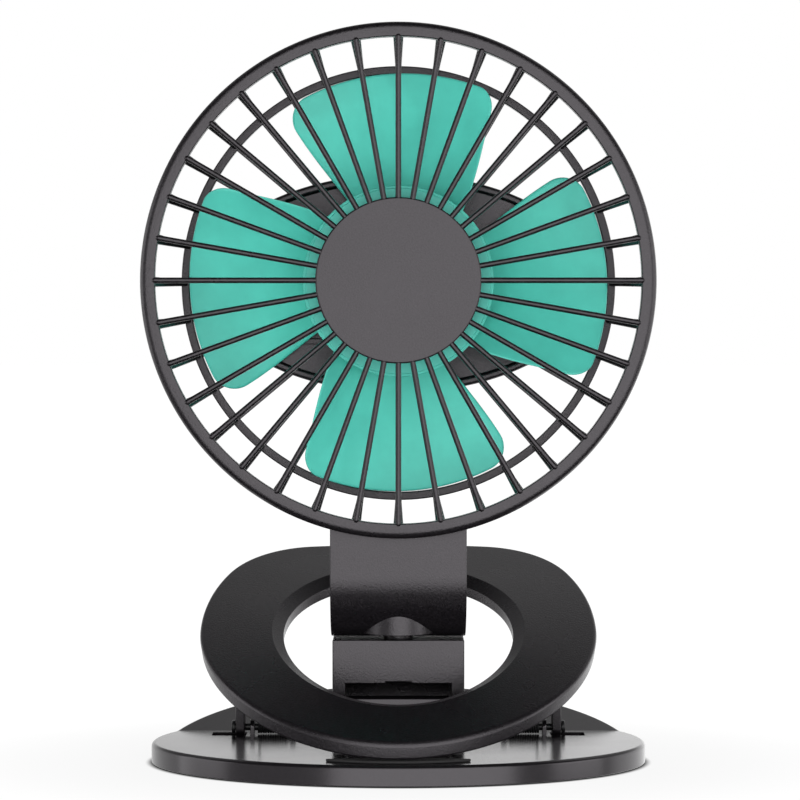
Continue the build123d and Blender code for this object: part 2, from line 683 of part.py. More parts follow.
# ---- tilt bracket: top plate, front plate, two cheeks and a sloping rear wall, open below ----
with BuildPart() as tilt_bracket:
    with BuildSketch(side_plane(0)):
        with Locations((0, tilt_z)):
            Circle(bracket_ear_radius)
        with BuildLine():
            Polyline((bracket_front_y, bracket_window_top), (bracket_front_y, bracket_top),
                     (bracket_rear_y, bracket_top), (bracket_rear_y, bracket_shoulder), close=True)
        make_face()
        make_hull()
    extrude(amount=bracket_half_width, both=True)
    outer_corners = tilt_bracket.edges().filter_by(Axis.X).filter_by_position(
        Axis.Z, bracket_window_top + 1, bracket_top + 1)
    fillet(outer_corners, bracket_corner_round)
    # hollow between the cheeks; the rear wall follows the slope and stops clear of the knuckle
    shoulder_reach = math.hypot(bracket_rear_y, bracket_shoulder - tilt_z)
    slope = math.atan2(bracket_shoulder - tilt_z, bracket_rear_y)
    slope += math.asin(bracket_ear_radius / shoulder_reach)
    swing_radius = knuckle_radius + knuckle_clearance
    wall_low = math.sqrt(swing_radius**2 - (bracket_ear_radius - bracket_web) ** 2)
    with BuildSketch(side_plane(0)):
        with Locations((bracket_front_y + bracket_plate, 0)):
            Rectangle(4 * bracket_rear_y, bracket_top - bracket_plate, align=(Align.MIN, Align.MIN))
        with Locations(Location((0, tilt_z, 0), (0, 0, math.degrees(slope)))):
            with Locations((wall_low, -bracket_ear_radius)):
                Rectangle(shoulder_reach, bracket_web, align=(Align.MIN, Align.MIN), mode=Mode.SUBTRACT)
    extrude(amount=bracket_window, both=True, mode=Mode.SUBTRACT)
    # window over the knuckle, with a notch in its upper edge
    with BuildSketch(Plane.XZ.offset(-bracket_front_y - bracket_plate / 2)):
        Rectangle(2 * bracket_window, bracket_window_top, align=(Align.CENTER, Align.MIN))
        with Locations((0, bracket_window_top - 1)):
            Rectangle(2 * notch_half_width, notch_height + 1, align=(Align.CENTER, Align.MIN))
    extrude(amount=2 * bracket_plate, both=True, mode=Mode.SUBTRACT)
    # swivel neck
    with BuildSketch(Plane.XY.offset(bracket_top - 1)):
        with Locations((0, swivel_y)):
            Circle(neck_radius)
    extrude(amount=boss_top - slip_gap - bracket_top + 1)
    with BuildSketch(Plane.XY.offset(bracket_top - bracket_plate)):
        with Locations((0, swivel_y)):
            Circle(swivel_screw_radius + running_gap)
    extrude(amount=boss_top, mode=Mode.SUBTRACT)
    # bolt hole, with a recess for the bolt's head on one cheek and for the nut on the other
    with BuildSketch(side_plane(-bracket_half_width)):
        with Locations((0, tilt_z)):
            Circle(tilt_pin_radius + running_gap)
    extrude(amount=2 * bracket_half_width, mode=Mode.SUBTRACT)
    for side in (-1, 1):
        with BuildSketch(side_plane(side * (bracket_half_width - bolt_recess_depth))):
            with Locations((0, tilt_z)):
                Circle(bolt_recess_radius)
        extrude(amount=side * bracket_plate, mode=Mode.SUBTRACT)
write(tilt_bracket.part, "tilt_bracket")

# ---- tilt bolt, nut and friction washers ----
with BuildPart() as tilt_bolt:
    bolt_seat_x = bolt_recess_depth - bracket_half_width
    with BuildSketch(side_plane(bolt_seat_x)):
        with Locations((0, tilt_z)):
            Circle(tilt_pin_radius)
    extrude(amount=bracket_half_width - bolt_end_inset - bolt_seat_x)
    with BuildSketch(side_plane(bolt_seat_x)):
        with Locations((0, tilt_z)):
            Circle(bolt_head_radius)
    extrude(amount=-bolt_head_height)
    with BuildSketch(side_plane(bolt_seat_x - bolt_head_height)):
        with Locations((0, tilt_z)):
            RegularPolygon(bolt_socket_radius, 6)
    extrude(amount=bolt_socket_depth, mode=Mode.SUBTRACT)
write(tilt_bolt.part, "tilt_bolt")

with BuildPart() as tilt_nut:
    with BuildSketch(side_plane(bracket_half_width - bolt_recess_depth)):
        with Locations((0, tilt_z)):
            RegularPolygon(nut_radius, 6)
            Circle(tilt_pin_radius, mode=Mode.SUBTRACT)
    extrude(amount=bolt_head_height)
write(tilt_nut.part, "tilt_nut")

with BuildPart() as tilt_washers:
    for side in (-1, 1):
        with BuildSketch(side_plane(side * (knuckle_half_length + slip_gap))):
            with Locations((0, tilt_z)):
                Circle(knuckle_radius - washer_inset)
                Circle(tilt_pin_radius + running_gap, mode=Mode.SUBTRACT)
        extrude(amount=side * (washer_room - 2 * slip_gap))
write(tilt_washers.part, "tilt_washers")

# ---- arm: strap, bend, foot plate with the swivel boss, and the saddle under the rim ----
with BuildPart() as arm_strap:
    saddle_outer = head_radius + slip_gap + saddle_thickness
    strap_top = head_z - head_radius * math.cos(math.asin(arm_half_width / head_radius)) + 1
    with BuildSketch(side_plane(0)):
        with BuildLine():
            Line((arm_front_y, strap_top), (arm_front_y, arm_bend_z))
            RadiusArc((arm_front_y, arm_bend_z), (arm_bend_y, arm_bottom), -arm_bend_radius)
            Polyline((arm_bend_y, arm_bottom), (arm_foot_rear_y, arm_bottom),
                     (arm_foot_rear_y, arm_bottom + arm_thickness), (arm_bend_y, arm_bottom + arm_thickness))
            RadiusArc((arm_bend_y, arm_bottom + arm_thickness),
                      (arm_front_y + arm_thickness, arm_bend_z), arm_bend_radius - arm_thickness)
            Polyline((arm_front_y + arm_thickness, arm_bend_z), (arm_front_y + arm_thickness, strap_top),
                     (arm_front_y, strap_top))
        make_face()
    extrude(amount=arm_half_width, both=True)
    fillet(arm_strap.edges().filter_by(Axis.Z), arm_edge_round)
    with BuildSketch(front_plane(arm_front_y)):
        Circle(saddle_outer)
        Rectangle(2 * arm_half_width, 2 * saddle_outer, mode=Mode.INTERSECT)
        Rectangle(2 * saddle_outer, saddle_outer + overcut, align=(Align.CENTER, Align.MIN), mode=Mode.SUBTRACT)
    extrude(amount=arm_front_y - saddle_rear_y)
    with BuildSketch(front_plane(arm_front_y - 1)):
        Circle(head_radius + slip_gap)
    extrude(amount=-(abs(arm_front_y) + arm_foot_rear_y), mode=Mode.SUBTRACT)
    # boss and its bore
    with BuildSketch(Plane.XY.offset(arm_bottom)):
        with Locations((0, swivel_y)):
            Circle(boss_radius)
    extrude(amount=boss_height)
    with BuildSketch(Plane.XY.offset(arm_bottom)):
        with Locations((0, swivel_y)):
            Circle(neck_radius + running_gap)
    extrude(amount=boss_height, mode=Mode.SUBTRACT)
    # holes for the two screws up into the rim
    with BuildSketch(Plane.XY.offset(arm_bend_z)):
        with Locations(*arm_screw_places):
            Circle(arm_screw_radius + arm_screw_room)
    extrude(amount=arm_bend_radius, mode=Mode.SUBTRACT)
    screw_seat_z = head_z - math.sqrt(saddle_outer**2 - (arm_screw_x + arm_screw_head) ** 2) + arm_screw_recess
    with BuildSketch(Plane.XY.offset(arm_bend_z)):
        with Locations(*arm_screw_places):
            Circle(arm_screw_head + arm_screw_room)
    extrude(amount=screw_seat_z - arm_bend_z, mode=Mode.SUBTRACT)
write(arm_strap.part, "arm_strap")

# ---- swivel washer and screw ----
with BuildPart() as swivel_washer:
    with BuildSketch(Plane.XY.offset(boss_top + running_gap)):
        with Locations((0, swivel_y)):
            Circle(swivel_washer_radius)
            Circle(swivel_screw_radius + running_gap, mode=Mode.SUBTRACT)
    extrude(amount=swivel_washer_thickness)
write(swivel_washer.part, "swivel_washer")

with BuildPart() as swivel_screw:
    head_seat = boss_top + running_gap + swivel_washer_thickness
    with BuildSketch(Plane.XY.offset(bracket_top - bracket_plate + swivel_screw_inset)):
        with Locations((0, swivel_y)):
            Circle(swivel_screw_radius)
    extrude(amount=head_seat - bracket_top + bracket_plate - swivel_screw_inset)
    with BuildSketch(Plane.XY.offset(head_seat)):
        with Locations((0, swivel_y)):
            Circle(swivel_screw_head)
    extrude(amount=swivel_screw_head_height)
    fillet(swivel_screw.edges().sort_by(Axis.Z)[-1], swivel_screw_round)
    with BuildSketch(Plane.XY.offset(head_seat + swivel_screw_head_height - swivel_slot_depth)):
        with Locations((0, swivel_y)):
            Rectangle(swivel_screw_head, cross_slot_width)
            Rectangle(cross_slot_width, swivel_screw_head)
    extrude(amount=swivel_screw_head_height, mode=Mode.SUBTRACT)
write(swivel_screw.part, "swivel_screw")

# ---- screws from the saddle into the rim ----
with BuildPart() as arm_screws:
    with BuildSketch(Plane.XY.offset(screw_seat_z)):
        with Locations(*arm_screw_places):
            Circle(arm_screw_head)
    extrude(amount=-arm_screw_head_height)
    with BuildSketch(Plane.XY.offset(screw_seat_z)):
        with Locations(*arm_screw_places):
            Circle(arm_screw_radius)
    extrude(amount=arm_screw_length)
write(arm_screws.part, "arm_screws")

# ---- front grille: rim cover, spokes and centre disc ----
with BuildPart() as front_grille:
    with BuildSketch(head_section()):
        with Locations((head_front_y, rim_inner_radius)):
            Rectangle(rim_cover_depth, head_radius - rim_inner_radius, align=(Align.MIN, Align.MIN))
    revolve(axis=head_axis)
    front_circles = front_grille.edges().filter_by(GeomType.CIRCLE).group_by(Axis.Y)[0]
    fillet(front_circles.sort_by(SortBy.RADIUS)[-1], rim_round)
    with BuildSketch(front_plane(head_front_y - disc_proud + disc_thickness)):
        Circle(disc_radius)
    extrude(amount=disc_thickness)
    disc_edge = front_grille.edges().filter_by(GeomType.CIRCLE).filter_by(
        lambda e: abs(e.radius - disc_radius) < 0.01).sort_by(Axis.Y)[0]
    fillet(disc_edge, disc_edge_round)
    # catches that reach back inside the rim's band
    catch_middle = head_radius - band_wall - 2 * slip_gap - catch_thickness / 2
    with BuildSketch(front_plane(rim_seam_y)):
        with PolarLocations(0, catch_count, start_angle=15):
            with Locations((catch_middle, 0)):
                Rectangle(catch_thickness, catch_width)
    extrude(amount=-catch_length)
    # spokes
    spoke_y = head_front_y - spoke_proud + spoke_radius
    for i in range(spoke_count):
        angle = math.radians(i * 360 / spoke_count)
        outward = (math.sin(angle), 0, math.cos(angle))
        start = disc_radius - 2
        with BuildSketch(Plane(origin=(start * outward[0], spoke_y,
                                       head_z + start * outward[2]), z_dir=outward)):
            Circle(spoke_radius)
        extrude(amount=spoke_tip_radius - start)
write(front_grille.part, "front_grille")

# ---- rear cage: band, side ribs, rear ring, rear spokes and the pod's front wall ----
with BuildPart() as side_ribs:
    with BuildSketch(head_section()):
        with BuildLine():
            Polyline((band_rear_y - 2 * rib_lap, head_radius - rib_inset),
                     (rear_ring_front_y + rib_lap, rear_ring_outer),
                     (rear_ring_front_y + rib_lap, rear_ring_inner + rib_lap),
                     (band_rear_y - 2 * rib_lap, head_radius - band_wall),
                     close=True)
        make_face()
    revolve(axis=head_axis)
    slope = (rib_half_width_rim - rib_half_width_ring) / (rim_inner_radius - rear_ring_inner)
    outer_half = rib_half_width_ring + slope * (head_radius - rear_ring_inner)
    with BuildSketch(front_plane(rear_ring_rear_y)):
        with PolarLocations(0, spoke_count):
            Polygon((rear_ring_inner, -rib_half_width_ring), (head_radius, -outer_half),
                    (head_radius, outer_half), (rear_ring_inner, rib_half_width_ring), align=None)
    extrude(amount=2 * head_radius, mode=Mode.INTERSECT)

with BuildPart() as rear_cage:
    with BuildSketch(head_section()):
        with Locations((rim_seam_y + cage_gap, head_radius - band_wall)):
            Rectangle(band_rear_y - rim_seam_y - cage_gap, band_wall, align=(Align.MIN, Align.MIN))
        with Locations((rear_ring_front_y, rear_ring_inner)):
            Rectangle(rear_ring_rear_y - rear_ring_front_y, rear_ring_outer - rear_ring_inner,
                      align=(Align.MIN, Align.MIN))
    revolve(axis=head_axis)
    add(side_ribs.part)
    # spokes from the ring to the pod
    with BuildSketch(front_plane(rear_ring_front_y + rear_spoke_inset)):
        with PolarLocations(0, spoke_count):
            with Locations(((rear_ring_inner + pod_half_height) / 2, 0)):
                Rectangle(rear_ring_inner - pod_half_height + 2, rear_spoke_width)
    extrude(amount=-rear_spoke_depth)
    # the pod's front wall, its raised lip and its skirt
    with BuildSketch(front_plane(pod_lip_y)):
        Ellipse(pod_half_width, pod_half_height)
    extrude(amount=-(pod_seam_y - pod_lip_y))
    with BuildSketch(front_plane(pod_lip_y)):
        Ellipse(pod_half_width - pod_lip_width, pod_half_height - pod_lip_width)
    extrude(amount=-(pod_plate_y - pod_lip_y), mode=Mode.SUBTRACT)
    with BuildSketch(front_plane(pod_plate_y + pod_plate)):
        Ellipse(pod_half_width - pod_wall, pod_half_height - pod_wall)
    extrude(amount=-(pod_seam_y - pod_plate_y - pod_plate), mode=Mode.SUBTRACT)
    # small bar moulded on the wall
    with BuildSketch(front_plane(pod_plate_y)):
        with Locations(pod_bar_place, (-pod_bar_place[0], pod_bar_place[1])):
            SlotOverall(pod_bar_length, pod_bar_width)
    extrude(amount=pod_bar_height)
    # screw posts of the pod cover
    with BuildSketch(front_plane(pod_plate_y + pod_plate)):
        with Locations(*pod_screw_places):
            Circle(pod_post_radius)
    extrude(amount=-(pod_screw_seat_y - pod_boss_height - slip_gap - motor_front))
    with BuildSketch(front_plane(pod_rear_y)):
        with Locations(*pod_screw_places):
            Circle(pod_screw_radius)
    extrude(amount=pod_screw_hole, mode=Mode.SUBTRACT)
    # shaft hole and motor screw holes
    with BuildSketch(front_plane(pod_lip_y)):
        Circle(motor_collar_radius + motor_collar_room)
        with Locations(*motor_screw_places):
            Circle(motor_screw_radius + slip_gap)
    extrude(amount=-2 * (pod_plate + pod_lip_height), mode=Mode.SUBTRACT)
    # thickened seats in the band for the arm's screws
    with BuildSketch(Plane.XY.offset(head_z - head_radius + seat_inset)):
        with Locations(*arm_screw_places):
            Rectangle(*seat_block[:2])
    extrude(amount=seat_block[2])
    with BuildSketch(front_plane(rim_seam_y)):
        Circle(head_radius + overcut)
        Circle(head_radius, mode=Mode.SUBTRACT)
    extrude(amount=-overcut, mode=Mode.SUBTRACT)
    with BuildSketch(Plane.XY.offset(head_z - head_radius - 1)):
        with Locations(*arm_screw_places):
            Circle(arm_screw_radius)
    extrude(amount=seat_block[2] + 1, mode=Mode.SUBTRACT)
write(rear_cage.part, "rear_cage")

# ---- pod cover ----
with BuildPart() as pod_hollow:
    with BuildSketch(front_plane(pod_seam_y)):
        Ellipse(pod_half_width - pod_wall, pod_half_height - pod_wall)
    extrude(amount=-(pod_rear_y - pod_wall - pod_seam_y))
    fillet(pod_hollow.edges().sort_by(Axis.Y)[-1], pod_round - pod_wall)

with BuildPart() as pod_cover:
    with BuildSketch(front_plane(pod_seam_y + slip_gap)):
        Ellipse(pod_half_width, pod_half_height)
    extrude(amount=-(pod_rear_y - pod_seam_y - slip_gap))
    fillet(pod_cover.edges().sort_by(Axis.Y)[-1], pod_round)
    add(pod_hollow.part, mode=Mode.SUBTRACT)
    with BuildSketch(front_plane(pod_screw_seat_y - pod_boss_height)):
        with Locations(*pod_screw_places):
            Circle(pod_boss_radius)
    extrude(amount=-(pod_boss_height + pod_wall / 2))
    with BuildSketch(front_plane(pod_screw_seat_y)):
        with Locations(*pod_screw_places):
            Circle(pod_screw_head + pod_screw_room)
    extrude(amount=-2 * pod_wall, mode=Mode.SUBTRACT)
    with BuildSketch(front_plane(pod_seam_y)):
        with Locations(*pod_screw_places):
            Circle(pod_screw_radius + pod_screw_room)
        Circle(button_radius + slip_gap)
        with Locations((led_x, 0)):
            Circle(led_radius + running_gap)
        with Locations((socket_x, 0)):
            SlotOverall(socket_length + 2 * socket_room, socket_width + 2 * socket_room, rotation=90)
    extrude(amount=-2 * (pod_rear_y - pod_seam_y), mode=Mode.SUBTRACT)
write(pod_cover.part, "pod_cover")

with BuildPart() as pod_screws:
    with BuildSketch(front_plane(pod_screw_seat_y)):
        with Locations(*pod_screw_places):
            Circle(pod_screw_head)
    extrude(amount=-pod_screw_head_height)
    with BuildSketch(front_plane(pod_screw_seat_y + pod_screw_head_height)):
        with Locations(*pod_screw_places):
            Rectangle(pod_screw_head, cross_slot_width)
            Rectangle(cross_slot_width, pod_screw_head)
    extrude(amount=pod_screw_head_height / 2, mode=Mode.SUBTRACT)
    with BuildSketch(front_plane(pod_screw_seat_y)):
        with Locations(*pod_screw_places):
            Circle(pod_screw_radius)
    extrude(amount=pod_screw_length)
write(pod_screws.part, "pod_screws")

# ---- motor, its screws and its shaft ----
with BuildPart() as motor_can:
    motor_back = motor_front + motor_length - motor_boss_seat
    with BuildSketch(front_plane(motor_front)):
        Circle(motor_radius)
    extrude(amount=motor_front - motor_back)
    fillet(motor_can.edges().sort_by(Axis.Y)[-1], motor_back_round)
    with BuildSketch(front_plane(motor_back)):
        Circle(motor_boss_radius)
    extrude(amount=-motor_boss_height)
    with BuildSketch(front_plane(motor_front)):
        Circle(motor_collar_radius)
    extrude(amount=0.75 * pod_plate)
    with BuildSketch(front_plane(0)):
        Circle(shaft_radius + running_gap)
    extrude(amount=-(motor_front + motor_length), mode=Mode.SUBTRACT)
    with BuildSketch(front_plane(motor_front)):
        with Locations(*motor_screw_places):
            Circle(motor_screw_radius)
    extrude(amount=-motor_thread_depth, mode=Mode.SUBTRACT)
write(motor_can.part, "motor_can")

with BuildPart() as motor_screws:
    with BuildSketch(front_plane(pod_plate_y)):
        with Locations(*motor_screw_places):
            Circle(motor_screw_head)
    extrude(amount=motor_screw_head_height)
    with BuildSketch(front_plane(pod_plate_y)):
        with Locations(*motor_screw_places):
            Circle(motor_screw_radius)
    extrude(amount=-(pod_plate + motor_screw_depth))
write(motor_screws.part, "motor_screws")

with BuildPart() as motor_shaft:
    shaft_front = hub_front_y + hub_wall + shaft_front_gap
    with BuildSketch(front_plane(shaft_front)):
        Circle(shaft_radius)
    extrude(amount=-(motor_front + motor_length - shaft_rear_inset - shaft_front))
write(motor_shaft.part, "motor_shaft")


def blade_point(share, degrees):
    """A point of the blade's front view: its share of the way from root to tip, its angle from straight up."""
    radius = blade_root_radius + share * (blade_tip_radius - blade_root_radius)
    angle = math.radians(degrees)
    return radius * math.sin(angle), radius * math.cos(angle)


# ---- one blade: a twisted sheet, cut to its outline in the front view ----
with BuildPart() as blade:
    first_station = hub_radius - blade_inner_reach
    station_step = (blade_tip_radius + blade_outer_reach - first_station) / (len(blade_pitches) - 1)
    for i, pitch in enumerate(blade_pitches):
        distance = first_station + i * station_step
        lean = math.radians(pitch)
        chord = 2 * min(blade_root_half_chord + blade_chord_growth * distance, blade_max_half_chord)
        camber = blade_camber * chord
        with BuildSketch(Plane(origin=(0, blade_middle_y, head_z + distance),
                               x_dir=(math.cos(lean), -math.sin(lean), 0), z_dir=(0, 0, 1))):
            with BuildLine():
                half = chord / 2
                ThreePointArc((-half, 0), (0, camber), (half, 0))
                Line((half, 0), (half, blade_thickness))
                ThreePointArc((half, blade_thickness), (0, camber + blade_thickness),
                              (-half, blade_thickness))
                Line((-half, blade_thickness), (-half, 0))
            make_face()
    loft()
    with BuildSketch(front_plane(-overcut)) as blade_front:
        with BuildLine():
            Polyline(blade_point(0, 43.5), blade_point(0, -31.0), blade_point(0.733, -34.6),
                     blade_point(1, -33.5))
            ThreePointArc(blade_point(1, -33.5), blade_point(1, 0), blade_point(1, 28))
            Spline(blade_point(1, 28), blade_point(0.761, 29.7), blade_point(0.609, 31.5),
                   blade_point(0.31, 36.3), blade_point(0, 43.5))
        make_face()
        left_corner = blade_front.vertices().sort_by_distance((*blade_point(1, -33.5), 0))[0]
        fillet(left_corner, blade_round_left)
        right_corner = blade_front.vertices().sort_by_distance((*blade_point(1, 28), 0))[0]
        fillet(right_corner, blade_round_right)
    extrude(amount=-2 * overcut, mode=Mode.INTERSECT)

# ---- impeller: hub cup with a stepped front and the blades ----
with BuildPart() as impeller:
    with BuildSketch(head_section()):
        with BuildLine():
            Polyline((hub_front_y, 0), (hub_front_y, hub_radius - hub_step),
                     (hub_front_y + hub_step, hub_radius - hub_step), (hub_front_y + hub_step, hub_radius),
                     (hub_rear_y, hub_radius), (hub_rear_y, hub_radius - hub_wall),
                     (hub_front_y + hub_wall, hub_radius - hub_wall), (hub_front_y + hub_wall, hub_bore_radius),
                     (hub_bore_rear_y, hub_bore_radius), (hub_bore_rear_y, 0), close=True)
        make_face()
    revolve(axis=head_axis)
    for i in range(blade_count):
        add(blade.part.rotate(head_axis, i * 360 / blade_count))
    with BuildSketch(front_plane(shaft_front)):
        Circle(shaft_radius)
    extrude(amount=-overcut, mode=Mode.SUBTRACT)
write(impeller.part, "impeller")

# ---- battery cell and its leads ----
with BuildPart() as battery_cell:
    with BuildSketch(front_plane(cell_y[0])):
        with Locations(((cell_x[0] + cell_x[1]) / 2, 0)):
            Rectangle(cell_x[1] - cell_x[0], 2 * cell_half_height)
    extrude(amount=-(cell_y[1] - cell_y[0]))
    fillet(battery_cell.edges().filter_by(Axis.Z), cell_round)
write(battery_cell.part, "battery_cell")

with BuildPart() as battery_leads:
    tab_y = (cell_y[0] + cell_y[1]) / 2
    lead_y = board_y + board_thickness / 2
    bend_x = (cell_x[1] + board_x[0]) / 2
    for height in (-battery_lead_height, battery_lead_height):
        lead_z = head_z + height
        with BuildLine():
            FilletPolyline((cell_x[1], tab_y, lead_z), (bend_x, tab_y, lead_z), (bend_x, lead_y, lead_z),
                           (board_x[0], lead_y, lead_z), radius=lead_bend)
        with BuildSketch(Plane(origin=(cell_x[1], tab_y, lead_z), z_dir=(1, 0, 0))):
            Circle(lead_radius)
        sweep()
write(battery_leads.part, "battery_leads")

with BuildPart() as motor_leads:
    with BuildSketch(front_plane(motor_back)):
        with Locations((0, -motor_lead_height), (0, motor_lead_height)):
            Circle(lead_radius)
    extrude(amount=-(board_y - motor_back))
write(motor_leads.part, "motor_leads")

# ---- circuit board, held on the screw posts' inner side by two pegs of the cover ----
with BuildPart() as circuit_board:
    with BuildSketch(front_plane(board_y)):
        with Locations(((board_x[0] + board_x[1]) / 2, 0)):
            Rectangle(board_x[1] - board_x[0], 2 * board_half_height)
    extrude(amount=-board_thickness)
write(circuit_board.part, "circuit_board")

with BuildPart() as charging_socket:
    socket_mouth_y = pod_rear_y - socket_mouth_inset
    with BuildSketch(front_plane(board_rear_y)):
        with Locations((socket_x, 0)):
            SlotOverall(socket_length, socket_width, rotation=90)
    extrude(amount=-(socket_mouth_y - board_rear_y))
    with BuildSketch(front_plane(socket_mouth_y)):
        with Locations((socket_x, 0)):
            SlotOverall(socket_length - 2 * socket_wall, socket_width - 2 * socket_wall, rotation=90)
    extrude(amount=socket_bore, mode=Mode.SUBTRACT)
    with BuildSketch(front_plane(board_rear_y + socket_tongue_inset)):
        with Locations((socket_x, 0)):
            Rectangle(*socket_tongue)
    extrude(amount=-(socket_mouth_y - board_rear_y - 2 * socket_tongue_inset))
write(charging_socket.part, "charging_socket")

with BuildPart() as push_switch:
    with BuildSketch(front_plane(board_rear_y)):
        Rectangle(switch_width, switch_width)
    extrude(amount=-switch_height)
    with BuildSketch(front_plane(board_rear_y + switch_height)):
        Circle(plunger_radius)
    extrude(amount=-plunger_height)
write(push_switch.part, "push_switch")

with BuildPart() as power_button:
    button_back = board_rear_y + switch_height + plunger_height + button_travel + slip_gap
    with BuildSketch(front_plane(button_back)):
        Circle(button_radius + button_flange)
    extrude(amount=-button_flange)
    with BuildSketch(front_plane(button_back)):
        Circle(button_radius)
    extrude(amount=-(pod_rear_y + button_proud - button_back))
    fillet(power_button.edges().sort_by(Axis.Y)[-1], button_round)
write(power_button.part, "power_button")

with BuildPart() as led_lens:
    with BuildSketch(front_plane(board_rear_y + led_chip[2])):
        with Locations((led_x, 0)):
            Circle(led_radius)
    extrude(amount=-(pod_rear_y + led_proud - board_rear_y - led_chip[2]))
    with BuildSketch(front_plane(board_rear_y)):
        with Locations((led_x, 0)):
            Rectangle(*led_chip[:2])
    extrude(amount=-led_chip[2])
write(led_lens.part, "led_lens")
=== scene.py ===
import bmesh
import bpy
import json
import math
import numpy as np
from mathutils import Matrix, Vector
from mathutils.geometry import convex_hull_2d, tessellate_polygon


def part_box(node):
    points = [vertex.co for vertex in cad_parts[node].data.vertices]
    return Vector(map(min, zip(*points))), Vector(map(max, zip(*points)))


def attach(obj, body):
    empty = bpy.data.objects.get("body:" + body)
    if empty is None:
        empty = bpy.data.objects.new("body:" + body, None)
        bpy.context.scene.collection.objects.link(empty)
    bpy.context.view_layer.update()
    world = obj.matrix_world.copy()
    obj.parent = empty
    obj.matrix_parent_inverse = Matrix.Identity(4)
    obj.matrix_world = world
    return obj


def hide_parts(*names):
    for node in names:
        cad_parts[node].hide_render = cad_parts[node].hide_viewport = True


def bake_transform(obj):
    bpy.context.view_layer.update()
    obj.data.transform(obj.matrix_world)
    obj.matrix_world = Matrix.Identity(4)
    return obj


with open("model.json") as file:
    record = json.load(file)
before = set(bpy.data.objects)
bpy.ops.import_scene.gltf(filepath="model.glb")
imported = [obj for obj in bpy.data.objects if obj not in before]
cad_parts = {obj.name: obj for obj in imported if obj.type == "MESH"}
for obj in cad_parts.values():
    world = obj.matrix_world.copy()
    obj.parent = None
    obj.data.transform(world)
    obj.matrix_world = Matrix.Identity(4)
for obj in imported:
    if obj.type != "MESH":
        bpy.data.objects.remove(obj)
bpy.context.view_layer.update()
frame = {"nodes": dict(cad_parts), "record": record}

# Shapes are worked out in millimetres, in the part's own frame, and turned into metres when a piece is made.
MM = 1000.0


def extent(node):
    """Lowest and highest corner of a part, in millimetres."""
    low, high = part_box(node)
    return np.array(low) * MM, np.array(high) * MM


# ---- sizes read from the frame ----
grille_low, grille_high = extent("front_grille")
pod_low, pod_high = extent("pod_cover")
wheel_low, wheel_high = extent("impeller")
base_low, base_high = extent("base_plate")
jaw_high = extent("ring_jaw")[1]
bracket_low, bracket_high = extent("tilt_bracket")
arm_low, arm_high = extent("arm_strap")
button_low, button_high = extent("power_button")
pad_low, pad_high = extent("base_grip_pad")
jaw_pad_low, jaw_pad_high = extent("jaw_grip_pad")

HEAD_RADIUS = (grille_high[0] - grille_low[0]) / 2
HEAD_Z = (grille_high[2] + grille_low[2]) / 2

# rim, spokes and disc
DISC_PROUD = 0.8
DISC_RADIUS = 24.1
DISC_THICKNESS = 3.0
RIM_FRONT = grille_low[1] + DISC_PROUD
RIM_WIDTH = 4.4
RIM_DEPTH = 3.5
RIM_BACK = RIM_FRONT + RIM_DEPTH
RIM_ROUND = 2.0
BAND_WALL = 2.0
BAND_REAR = -8.9
SPOKES = 36
SPOKE_RADIUS = 0.84
SPOKE_PROUD = 0.72
SPOKE_SUNK = 0.75
SPOKE_TIP = HEAD_RADIUS - RIM_WIDTH + SPOKE_SUNK
RING_INSET = 12.1
RING_INNER = HEAD_RADIUS - RING_INSET
RING_WIDTH = 2.5
RING_FRONT = 9.5
RING_DEPTH = 2.8

# pod
POD_HALF_WIDTH = (pod_high[0] - pod_low[0]) / 2
POD_HALF_HEIGHT = (pod_high[2] - pod_low[2]) / 2
POD_LIP_Y = 9.4
POD_PLATE_Y = 10.9
POD_PLATE_BACK = POD_PLATE_Y + 1.6
POD_LIP = 2.4
POD_WALL = 1.8
POD_SEAM = pod_low[1]
POD_REAR = pod_high[1]
POD_INSIDE = POD_REAR - POD_WALL
POD_ROUND = 6.0
POD_SCREW_INSET = 10
POD_SCREW_X = POD_HALF_WIDTH - POD_SCREW_INSET
POD_SCREW_Z = POD_HALF_HEIGHT - POD_SCREW_INSET
POD_SCREWS = [(-POD_SCREW_X, 0), (POD_SCREW_X, 0), (0, -POD_SCREW_Z), (0, POD_SCREW_Z)]
BUTTON_RADIUS = 5.0
SOCKET_INSET = 27
SOCKET_X = POD_HALF_WIDTH - SOCKET_INSET
LENS_X = 11.0

# impeller; its box ends a little inside the circle that the blades' tips are drawn to
TIP_PAST_BOX = 0.25
HUB_RADIUS = 28.0
HUB_FRONT = -16.0
HUB_REAR = 5.5
BLADE_TIP = (wheel_high[0] - wheel_low[0]) / 2 + TIP_PAST_BOX
BLADE_SUNK = 1.5
BLADE_ROOT = HUB_RADIUS - BLADE_SUNK
BLADE_MIDDLE = -5.5
BLADE_THICKNESS = 1.3

# base
BASE_HALF_WIDTH = base_high[0]
BASE_FRONT = -base_low[1]
BASE_REAR = base_high[1]
BASE_TOP = 6.1
BASE_FLOOR = base_low[2]
BASE_ROUND = 1.2
BASE_WALL = 1.8
FOOT_ROUND = 0.2
PANEL_RISE = math.radians(15.5)
PANEL_ROOT = 17.5
CREASE_Y = 21.0
CREASE_ROUND = 3.0
CREASE_TANGENT = CREASE_ROUND * math.tan(PANEL_RISE / 2)
CREASE_START = CREASE_Y - CREASE_TANGENT
CREASE_END = CREASE_Y + CREASE_TANGENT * math.cos(PANEL_RISE)
KNUCKLE_RADIUS = 6.4
KNUCKLE_BROW = 1.4
KNUCKLE_LIFT = 0.5
TILT_Z = BASE_TOP + KNUCKLE_RADIUS + KNUCKLE_LIFT

